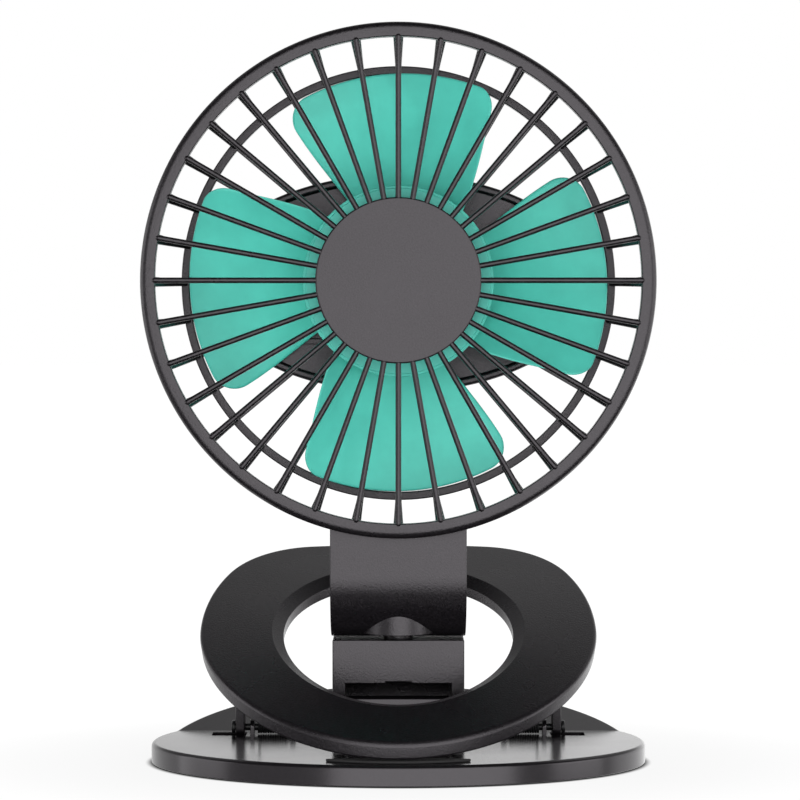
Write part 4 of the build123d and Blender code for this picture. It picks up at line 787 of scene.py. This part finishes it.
# ---- arm ----
def arm():
    """The strap is its side outline given width, its top end cut to the rim's curve; the saddle is a bent
    bar under the rim, and the boss an oval ring round the swivel's neck."""
    shell = Shell()
    rim_clearance, saddle_thickness, into_strap, set_in, neck_clearance = 0.1, 3.2, 1, 0.1, 0.05
    rim = HEAD_RADIUS + rim_clearance
    saddle = rim + saddle_thickness
    half = ARM_HALF_WIDTH
    top = HEAD_Z - math.sqrt(rim**2 - half**2)
    bend_z = ARM_BOTTOM + ARM_BEND
    bend = np.linspace(0, np.pi / 2, 25)

    def bent_line(radius):
        """Down the strap's front, then round the bend at this radius."""
        straight = np.linspace(top, bend_z, 6)[:-1]
        upright = np.column_stack((np.full_like(straight, ARM_FRONT + ARM_BEND - radius), straight))
        arc = (ARM_FRONT + ARM_BEND, bend_z) - radius * np.column_stack((np.cos(bend), np.sin(bend)))
        return np.vstack((upright, arc))

    heel_top = ARM_BOTTOM + ARM_THICKNESS
    heel = rounded([(0, ARM_BOTTOM, 0), (ARM_REAR, ARM_BOTTOM, 0.4), (ARM_REAR, heel_top, 0.4),
                    (0, heel_top, 0)], 3, closed=False)[1:-1]
    outline = np.vstack((bent_line(ARM_BEND), heel, bent_line(ARM_BEND - ARM_THICKNESS)[::-1]))
    rim_steps = edge_round(0.25)
    profile = ([(inset, -half + depth) for inset, depth in rim_steps]
               + [(0, x) for x in np.linspace(-half, half, 26)[1:-1]]
               + [(inset, half - depth) for inset, depth in reversed(rim_steps)])
    softened = drawn_in(outline)
    rows = np.stack([side(softened(inset), x) for inset, x in profile])
    x, z = rows[..., 0], rows[..., 2]
    end = HEAD_Z - np.sqrt(rim**2 - x**2)
    rows[..., 2] = np.where(z > bend_z, bend_z + (z - bend_z) * (end - bend_z) / (top - bend_z), z)
    shell.bar(rows)

    start = ARM_FRONT + into_strap
    section = rounded([(rim, start, 0.1), (saddle, start, 0.3), (saddle, BAND_REAR, 0.5),
                       (rim, BAND_REAR, 0.1)], 3)
    x = np.linspace(set_in - half, half - set_in, 33)[:, None]
    height = HEAD_Z - np.sqrt(section[:, 0] ** 2 - x**2)
    shell.bar(np.stack(np.broadcast_arrays(x, section[:, 1], height), axis=-1))

    boss_depth = SWIVEL_Y - ARM_FRONT - ARM_BEND + math.sqrt(ARM_BEND**2 - (ARM_BEND - BOSS_ARCH) ** 2)
    hole = boss_depth - NECK_RADIUS - neck_clearance
    floor, roof = ARM_BOTTOM + BOSS_FLOOR, ARM_BOTTOM + BOSS_HEIGHT
    boss = rounded([(0, roof, 0.5), (0, floor, 0.2), (hole, floor, 0.2), (hole, roof, 0.3)], 3)
    stack(shell, oval(BOSS_HALF_WIDTH, boss_depth, 96), boss, moved(above, 0, SWIVEL_Y), closed=True)
    piece("arm_body", shell, "head", "body_plastic", "arm_strap")


# ---- tilt bracket ----
def tilt_bracket():
    """Two cheeks and the middle between them, each a side outline given width, and the swivel's neck."""
    shell = Shell()
    bracket_cheeks(shell)
    bracket_middle(shell)
    neck_bore, neck_top = 1.55, ARM_BOTTOM + BOSS_HEIGHT - 0.1
    tube_wall(shell, moved(above, 0, SWIVEL_Y), NECK_RADIUS, neck_bore, BRACKET_TOP - 1, neck_top)
    piece("bracket_body", shell, "bracket", "body_plastic", "tilt_bracket")


def bracket_cheeks(shell):
    """A cheek is the outline round its ear and its top. Its outer edges are softened all round, its inner
    ones only below the window's top, so that it stays flush with the middle."""
    foot, soft_below = WINDOW_TOP - 4.5, WINDOW_TOP - 0.7
    ear = circle(BRACKET_EAR, 72) + (0, TILT_Z)
    top = rounded([(BRACKET_REAR, BRACKET_SHOULDER, 0.8), (BRACKET_REAR, BRACKET_TOP, 0.8),
                   (BRACKET_FRONT, BRACKET_TOP, 0.35), (BRACKET_FRONT, foot, 1.0)])
    cheek = divided(hull(np.vstack((ear, top))), 1.0)
    below = (cheek[:, 1] < soft_below)[:, None]
    softened = drawn_in(cheek)
    for way in (-1, 1):
        rows = [side(np.where(below, softened(inset), cheek), way * (BRACKET_WINDOW + depth))
                for inset, depth in edge_round(0.3)]
        rows += [side(softened(inset), way * (BRACKET_HALF_WIDTH - depth))
                 for inset, depth in reversed(edge_round(0.35))]
        shell.bar(np.stack(rows))


def bracket_middle(shell):
    """Front plate, top plate and the rear wall, which slopes in along the cheeks and stops clear of the
    knuckle. A shallow notch is let into the window's top edge."""
    back, under = BRACKET_FRONT + BRACKET_PLATE, BRACKET_TOP - BRACKET_PLATE
    rise = BRACKET_SHOULDER - TILT_Z
    slope = math.atan2(rise, BRACKET_REAR) + math.asin(BRACKET_EAR / math.hypot(BRACKET_REAR, rise))
    along = np.array((math.cos(slope), math.sin(slope)))
    square = np.array((math.sin(slope), -math.cos(slope)))
    low = math.sqrt((KNUCKLE_RADIUS + KNUCKLE_CLEARANCE) ** 2 - (BRACKET_EAR - BRACKET_WEB) ** 2)
    wall = np.array((0, TILT_Z)) + low * along
    outer_low, inner_low = wall + BRACKET_EAR * square, wall + (BRACKET_EAR - BRACKET_WEB) * square
    inner_high = inner_low + (BRACKET_SHOULDER - inner_low[1]) / along[1] * along

    def outline(window_top):
        return rounded([(*outer_low, 0.3), (BRACKET_REAR, BRACKET_SHOULDER, 0.8),
                        (BRACKET_REAR, BRACKET_TOP, 0.8), (BRACKET_FRONT, BRACKET_TOP, 0.35),
                        (BRACKET_FRONT, window_top, 0.3),
                        (back, window_top, 0.3), (back, under, 0.8), (inner_high[0], under, 0.8),
                        (*inner_high, 0.3), (*inner_low, 0.3)], 4)

    notch_depth, notch = 0.5, 4.0
    plain, notched = outline(WINDOW_TOP), outline(WINDOW_TOP + notch_depth)
    places = ((plain, -BRACKET_WINDOW), (plain, -notch), (notched, -notch), (notched, notch), (plain, notch),
              (plain, BRACKET_WINDOW))
    shell.grid(np.stack([side(ring, x) for ring, x in places]))


# ---- ring jaw ----
def circle_through(points):
    """Centre (a, b) and radius of the circle through three points: at each, x² + y² = 2ax + 2by + c."""
    a, b, c = np.linalg.solve(np.column_stack((2 * points, np.ones(3))), np.sum(points**2, axis=1))
    return a, b, math.sqrt(c + a**2 + b**2)


arc_y, arc_z, arc_radius = circle_through(
    np.column_stack(((-JAW_HALF_DEPTH, 0, JAW_HALF_DEPTH), JAW_HEIGHTS)))


def jaw_height(y, under=0.0):
    """Height of the jaw's bent face, or of a face that lies under it."""
    return arc_z + np.sqrt((arc_radius - under) ** 2 - (y - arc_y) ** 2)


def jaw_outline(t):
    """Half an oval in front; behind it three arcs that touch: crowned side, corner, crowned rear. A point of
    the rear half lies in the direction that the oval's point has, found by interpolating along the arcs."""
    corner = np.array((JAW_HALF_WIDTH - JAW_SIDE_CROWN, JAW_HALF_DEPTH - JAW_REAR_CROWN)) - JAW_CORNER
    side_more = (JAW_SIDE_CROWN**2 + corner[1] ** 2) / (2 * JAW_SIDE_CROWN)
    rear_more = (JAW_REAR_CROWN**2 + corner[0] ** 2) / (2 * JAW_REAR_CROWN)
    first = math.atan2(corner[1], side_more - JAW_SIDE_CROWN)
    second = math.atan2(rear_more - JAW_REAR_CROWN, corner[0])
    arcs = (((JAW_HALF_WIDTH - side_more - JAW_CORNER, 0), side_more + JAW_CORNER, 0, first),
            (corner, JAW_CORNER, first, second),
            ((0, JAW_HALF_DEPTH - rear_more - JAW_CORNER), rear_more + JAW_CORNER, second, np.pi / 2))
    curve = np.vstack([np.array(middle) + radius * np.column_stack((np.cos(a), np.sin(a)))
                       for middle, radius, start, end in arcs for a in [np.linspace(start, end, 200)]])
    x, y = JAW_HALF_WIDTH * np.cos(t), JAW_HALF_DEPTH * np.sin(t)
    direction = np.arctan2(np.abs(y), np.abs(x))
    reach = np.interp(direction, np.arctan2(curve[:, 1], curve[:, 0]), np.hypot(curve[:, 0], curve[:, 1]))
    behind = np.sin(t) > 0
    return (np.where(behind, np.sign(x) * reach * np.cos(direction), x),
            np.where(behind, reach * np.sin(direction), y))


def ring_jaw():
    """A closed section carried round: a share runs from the hole's edge to the outline in the plan, and the
    depth is measured under the bent top. The posts are side outlines given width."""
    shell = Shell()
    t = turn(288)[:, None]
    bevel_width, bevel_depth, width = 3.5, 1.7, 20.0
    section = rounded([(0, bevel_depth, 0.25), (bevel_width, 0, 0.6), (width, 0, 1.0),
                       (width - JAW_SIDE_LEAN, JAW_THICKNESS, 1.0), (0, JAW_THICKNESS, 0.4)], 4)
    inset, depth = section[:, 0], section[:, 1]
    hole_x, hole_y = HOLE_HALF_WIDTH * np.cos(t), HOLE_Y + HOLE_HALF_DEPTH * np.sin(t)
    out_x, out_y = jaw_outline(t)
    span = np.hypot(out_x - hole_x, out_y - hole_y)
    near = np.minimum(inset, width / 2)
    far = np.minimum(width - inset, width / 2)
    share = np.where(inset < width / 2, near / span, 1 - far / span)
    x, y = between(hole_x, out_x, share), between(hole_y, out_y, share)
    shell.grid(np.stack((x, y, jaw_height(y, depth)), axis=-1), along=True)

    ear = circle(EAR_RADIUS, 64) + (HINGE_Y, HINGE_Z)
    shoulder = [(y, jaw_height(y, JAW_THICKNESS / 2)) for y in POST_SHOULDER]
    post = drawn_in(divided(hull(np.vstack((ear, shoulder))), 1.5))
    for way in (-1, 1):
        slab(shell, post, way * EAR_INNER, way * EAR_OUTER, side, 0.35)
    piece("jaw_ring", shell, "jaw", "body_plastic", "ring_jaw")


# ---- base ----
def base_outline(inset):
    """Half an oval in front and a deeper half behind, drawn in by the inset."""
    t = turn(288)
    depth = np.where(np.sin(t) > 0, BASE_REAR - inset, BASE_FRONT - inset)
    return np.column_stack(((BASE_HALF_WIDTH - inset) * np.cos(t), depth * np.sin(t)))


def top_height(y):
    """Flat, then a round of the crease's radius, then the rising panel."""
    past = np.clip(y - CREASE_START, 0, CREASE_ROUND)
    curve = BASE_TOP + CREASE_ROUND - np.sqrt(CREASE_ROUND**2 - past**2)
    panel = BASE_TOP + (y - CREASE_Y) * math.tan(PANEL_RISE)
    return np.where(y < CREASE_START, BASE_TOP, np.where(y < CREASE_END, curve, panel))


def underside(y):
    """Flat, then rising with the panel."""
    return BASE_FLOOR + np.clip(y - PANEL_ROOT, 0, None) * math.tan(PANEL_RISE)


def base_ring(inset, height, line=np.inf, lift=0.0):
    """The outline drawn in, its depth held at a line where the surface turns, at the height found there."""
    ring = base_outline(inset)
    ring[:, 1] = np.minimum(ring[:, 1], line)
    return np.column_stack((ring, height(ring[:, 1]) + lift))


def base_plate():
    """Closed rings from the crease line out over the rim and back in underneath; the knuckle and the lugs
    are side outlines given width."""
    shell = Shell()
    rows = [base_ring(BASE_ROUND, top_height, line) for line in np.linspace(CREASE_START, CREASE_END, 6)]
    rows += [base_ring(inset, top_height, lift=-depth) for inset, depth in edge_round(BASE_ROUND, 5)]
    rows += [base_ring(inset, underside, lift=depth) for inset, depth in reversed(edge_round(FOOT_ROUND, 5))]
    rows.append(base_ring(FOOT_ROUND, underside, PANEL_ROOT))
    recess = base_ring(BASE_WALL, underside, PANEL_ROOT - BASE_WALL)[:, :2]
    rows += [above(recess, BASE_FLOOR), above(recess, BASE_TOP - BASE_WALL)]
    shell.grid(np.stack(rows))
    shell.cap(rows[-1])
    pockets = [pocket_outline(way) for way in (-1, 1)]
    shell.plate(above, BASE_TOP, rows[0][:, :2], pockets)
    bottom = HINGE_Z - EAR_RADIUS - EAR_CLEARANCE
    for pocket in pockets:
        shell.wall(above, pocket, BASE_TOP, bottom)
        shell.cap(above(pocket, bottom))

    sunk, crown_z = BASE_TOP - 1, TILT_Z + KNUCKLE_RADIUS
    crown = arch(0, TILT_Z, KNUCKLE_RADIUS, np.pi / 2)
    brow = rounded([(0, crown_z, 0), (KNUCKLE_BROW - KNUCKLE_RADIUS, crown_z, 0.8),
                    (-KNUCKLE_RADIUS, TILT_Z, 3.0), (-KNUCKLE_RADIUS, sunk, 0)], 8, closed=False)
    knuckle = np.vstack(([(KNUCKLE_RADIUS, sunk)], crown, brow[1:]))
    washer = 0.65
    half = BRACKET_WINDOW - washer
    slab(shell, drawn_in(knuckle), -half, half, side)

    lug = drawn_in(np.vstack(([(HINGE_Y + LUG_RADIUS, sunk)], arch(HINGE_Y, HINGE_Z, LUG_RADIUS, np.pi),
                              [(HINGE_Y - LUG_RADIUS, sunk)])))
    for way in (-1, 1):
        for low, high in (OUTER_LUG, INNER_LUG):
            slab(shell, lug, way * low, way * high, side, 0.2)
    piece("base_body", shell, "base", "base_plastic", "base_plate")


def arch(y, z, radius, end):
    """An arc in the side view, from the rear over the top."""
    angle = np.linspace(0, end, 17)
    return np.column_stack((y + radius * np.cos(angle), z + radius * np.sin(angle)))


def pocket_outline(way):
    """Plan of the slot that takes a post and the head of its pin."""
    pin_room = 7.3
    low, high = EAR_INNER - EAR_CLEARANCE, EAR_OUTER + pin_room
    return (box_outline((high - low) / 2, EAR_RADIUS + EAR_CLEARANCE, 0.4)
            + (way * (low + high) / 2, HINGE_Y))


# ---- springs ----
def spring(way, name, node):
    """A helix of round wire about the hinge, one straight leg along the base and one hooked behind the post.
    The coil's wire is drawn a little thin, so that neighbouring turns stay apart."""
    shell = Shell()
    wire, turns, steps, pin_clearance, lug_clearance = 0.8, 12, 24, 0.15, 0.3
    coil_section, leg_section = circle(0.47 * wire, 8), circle(0.4 * wire, 8)
    coil_radius = PIN_RADIUS + pin_clearance + wire / 2
    first = INNER_LUG[1] + lug_clearance + wire / 2
    last = first + (turns - 1) * wire
    t = np.linspace(0, 2 * np.pi * turns, turns * steps + 1)
    angle = t - np.pi / 2
    coil = np.column_stack((way * between(first, last, t / t[-1]), HINGE_Y + coil_radius * np.cos(angle),
                            HINGE_Z + coil_radius * np.sin(angle)))
    sweep(shell, coil, coil_section, RIGHTWARD)

    leg_length, hook_y, hook_z = 10.9, HINGE_Y + 6.1, HINGE_Z + 7.0
    hook_end = EAR_OUTER - 0.6
    leg_z = HINGE_Z - coil_radius
    for start, end, count, across in (
            ((first, HINGE_Y, leg_z), (first, HINGE_Y - leg_length, leg_z), 6, RIGHTWARD),
            ((last, HINGE_Y + coil_radius, HINGE_Z), (last, hook_y, hook_z), 8, RIGHTWARD),
            ((last - 0.3, hook_y, hook_z), (hook_end, hook_y, hook_z), 6, REARWARD)):
        sweep(shell, np.linspace(start, end, count) * (way, 1, 1), leg_section, across)
    thing = piece(name, shell, None, "spring_steel", node)
    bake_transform(thing)


# ---- small pieces ----
def base_grip():
    """A flat crescent: two arcs through the same corners, one to the pad's rear and one to its front."""
    shell = Shell()
    half, corner_y = pad_high[0], -44.0
    arcs = []
    for middle, way in ((pad_high[1], -1), (pad_low[1], 1)):
        rise = middle - corner_y
        radius = (half**2 + rise**2) / (2 * rise)
        x = way * np.linspace(-half, half, 41)[:-1]
        y = middle - radius + math.copysign(1, radius) * np.sqrt(radius**2 - x**2)
        arcs.append(np.column_stack((x, y)))
    slab(shell, drawn_in(np.vstack(arcs)), pad_low[2], pad_high[2], above, 0.25)
    piece("base_grip", shell, "base", "rubber", "base_grip_pad")


def jaw_grip():
    """A strip that follows the jaw's bent underside."""
    shell = Shell()
    half, gap = jaw_pad_high[0], 0.02
    front_y, rear_y = jaw_pad_low[1] + gap, jaw_pad_high[1] - gap
    top, bottom = JAW_THICKNESS + gap, JAW_THICKNESS + 0.78
    section = rounded([(front_y, top, 0.05), (rear_y, top, 0.05), (rear_y, bottom, 0.3),
                       (front_y, bottom, 0.3)])
    ring = np.column_stack((section[:, 0], jaw_height(section[:, 0], section[:, 1])))
    shell.bar(np.stack([side(ring, x) for x in np.linspace(-half, half, 9)]))
    piece("jaw_grip", shell, "jaw", "rubber", "jaw_grip_pad")


def jaw_pins():
    """A headed pin on each side, turned about the hinge's axis."""
    shell = Shell()
    head_radius, head_length, core, past_lug, head_gap = 2.0, 1.1, 0.3, 0.2, 0.3
    shank = head_radius - PIN_RADIUS
    tip, head = INNER_LUG[0] - past_lug, EAR_OUTER + head_gap
    end = head + head_length
    profile = rounded([(shank, tip, 0.2), (shank, head, 0), (0, head, 0.15), (0, end, 0.45),
                       (head_radius - core, end, 0)], 4, closed=False)
    profile = np.vstack(([(head_radius - core, tip)], profile))
    for way in (-1, 1):
        stack(shell, oval(head_radius, count=48), profile * (1, way), moved(side, HINGE_Y, HINGE_Z))
    piece("hinge_pins", shell, "base", "steel", "jaw_pins", finish="black_steel")


def power_button():
    """A flanged button turned about its axis, with a softly dished face."""
    shell = Shell()
    back, face = button_low[1], button_high[1]
    flange = button_high[0] - BUTTON_RADIUS
    dish_edge, dish_inner, dish_depth, core, rear_edge = flange + 1.4, flange + 4.2, 0.3, 0.5, 0.2
    profile = rounded([(0, back, 0), (0, back + flange, 0.15), (flange, back + flange, 0.1),
                       (flange, face, 0.55), (dish_edge, face, 1.2), (dish_inner, face - dish_depth, 0)],
                      closed=False)
    profile = np.vstack(([(flange + BUTTON_RADIUS - core, back)], [(rear_edge, back)], profile[1:]))
    stack(shell, oval(flange + BUTTON_RADIUS, count=96), profile, front)
    piece("button_cap", shell, "button", "button_plastic", "power_button")


front_grille()
rear_cage()
base_grip()
jaw_grip()
jaw_pins()
power_button()
pod_cover()
impeller()
arm()
tilt_bracket()
ring_jaw()
base_plate()
spring(-1, "spring_left", "jaw_spring_left")
spring(1, "spring_right", "jaw_spring_right")


# ---- stage, light and camera ----
def ramp(tree, value, low, high):
    """A smooth change between two (value, result) points."""
    node = add(tree, "MapRange", Value=value, From_Min=low[0], From_Max=high[0], To_Min=low[1],
               To_Max=high[1])
    node.interpolation_type = "SMOOTHSTEP"
    return node.outputs["Result"]


def stage_floor():
    """A wide pale disc that fades into the backdrop. Its glow is held at nothing under the base and rises
    over a thin ring just outside the base's outline, a painted contact shadow. It is there for the camera
    alone, so that the light from the front also reaches the surfaces from low down."""
    floor_radius, floor_drop, corners, grey = 30000, -0.05, 64, 0.12
    mesh = bpy.data.meshes.new("floor")
    mesh.from_pydata(above(circle(floor_radius, corners), floor_drop) / MM, [], [list(range(corners))])
    floor = in_scene("floor", mesh)
    material = bpy.data.materials.new("pale_floor")
    material.use_nodes = True
    tree = material.node_tree
    tree.nodes.clear()
    # distance from the middle, in units of the base's outline
    scaled = add(tree, "VectorMath", add(tree, "NewGeometry").outputs["Position"],
                 (MM / BASE_HALF_WIDTH, MM / BASE_FRONT, 0))
    scaled.operation = "MULTIPLY"
    distance = add(tree, "VectorMath", scaled.outputs["Vector"])
    distance.operation = "LENGTH"
    # painted contact shadow: the floor's glow is nothing under the base and rises to full across a thin ring
    # round its outline
    painted_shadow_ramp = ramp(tree, distance.outputs["Value"], (0.99, 0.0), (1.03, 0.89))
    away = ramp(tree, distance.outputs["Value"], (1.0, 0.0), (3.0, 0.13))
    matt = add(tree, "BsdfDiffuse", Color=(grey, grey, grey, 1)).outputs[0]
    glow = add(tree, "Emission", Strength=math_node(tree, "ADD", painted_shadow_ramp, away)).outputs[0]
    total = add(tree, "AddShader", matt, glow).outputs[0]
    clear = add(tree, "BsdfTransparent").outputs[0]
    seen = add(tree, "LightPath").outputs["Is Camera Ray"]
    add(tree, "OutputMaterial", Surface=add(tree, "MixShader", seen, clear, total).outputs[0])
    mesh.materials.append(material)


def backdrop():
    """White behind the object. To the surfaces it glows behind them, most at the horizon and to the right,
    more weakly in front of them near the horizon, and faintly all round."""
    world = bpy.data.worlds.new("backdrop")
    bpy.context.scene.world = world
    world.use_nodes = True
    tree = world.node_tree
    tree.nodes.clear()
    x, y, z = add(tree, "SeparateXYZ", add(tree, "TexCoord").outputs["Generated"]).outputs

    def times(first, second):
        return math_node(tree, "MULTIPLY", first, second)

    def plus(first, second):
        return math_node(tree, "ADD", first, second)

    behind = ramp(tree, y, (-0.1, 0.0), (0.3, 1.0))
    low_down = ramp(tree, z, (0.78, 1.0), (0.95, 0.0))
    horizon = ramp(tree, z, (0.15, 1.1), (0.45, 0.30))
    overhead = ramp(tree, z, (0.62, 0.0), (0.74, 0.20))
    rightward = ramp(tree, x, (-0.3, 0.9), (0.3, 1.45))
    ahead = ramp(tree, y, (-0.3, 0.55), (0.1, 0.0))
    level = ramp(tree, math_node(tree, "ABSOLUTE", z), (0.15, 1.0), (0.5, 0.0))
    faint = 0.03
    glow = times(times(times(behind, plus(horizon, overhead)), low_down), rightward)
    glow = plus(plus(glow, times(rightward, faint)), times(ahead, level))
    seen = add(tree, "LightPath").outputs["Is Camera Ray"]
    strength = add(tree, "Mix", Factor=seen, A=glow, B=1.0).outputs["Result"]
    white = add(tree, "Background", Color=(1, 1, 1, 1), Strength=strength).outputs[0]
    add(tree, "OutputWorld", Surface=white)


def softbox(name, place, aim, width, height, radiance, reflected=True):
    """A flat area light whose brightness is given as radiance, hidden from the camera."""
    lamp = bpy.data.lights.new(name, "AREA")
    lamp.shape = "RECTANGLE"
    lamp.size, lamp.size_y = width, height
    lamp.energy = radiance * math.pi * width * height
    box = in_scene(name, lamp)
    box.location = place
    box.rotation_euler = (Vector(aim) - Vector(place)).to_track_quat("-Z", "Y").to_euler()
    box.visible_camera = False
    box.visible_glossy = reflected


def camera():
    """The lens and place that give the picture's framing: near-level, from the front, slightly above."""
    focal_length, sensor_width = 126.0, 36.0
    place, degrees_down = (0.00048, -0.835, 0.1212), 0.9207
    lens = bpy.data.cameras.new("camera")
    lens.lens = focal_length
    lens.sensor_width = sensor_width
    eye = in_scene("camera", lens)
    eye.location = place
    eye.rotation_euler = (math.radians(90 - degrees_down), 0, 0)
    bpy.context.scene.camera = eye


stage_floor()
backdrop()
# name, place, aim, width, height (metres), radiance
softbox("front_softbox", (0.25, -1.1, 0.22), (0.25, 0, 0.22), 1.45, 1.42, 2.4)
softbox("low_fill", (-0.585, -1.04, -0.377), (0, 0, 0.143), 0.8, 0.8, 4.0, reflected=False)
softbox("left_softbox", (-1.1, -0.1, 0.2), (0, -0.1, 0.2), 0.7, 0.8, 1.7)
softbox("right_softbox", (1.2, -0.35, 0.2), (0, -0.1, 0.2), 0.7, 0.8, 2.2)
camera()
bpy.context.scene.view_settings.view_transform = "Standard"
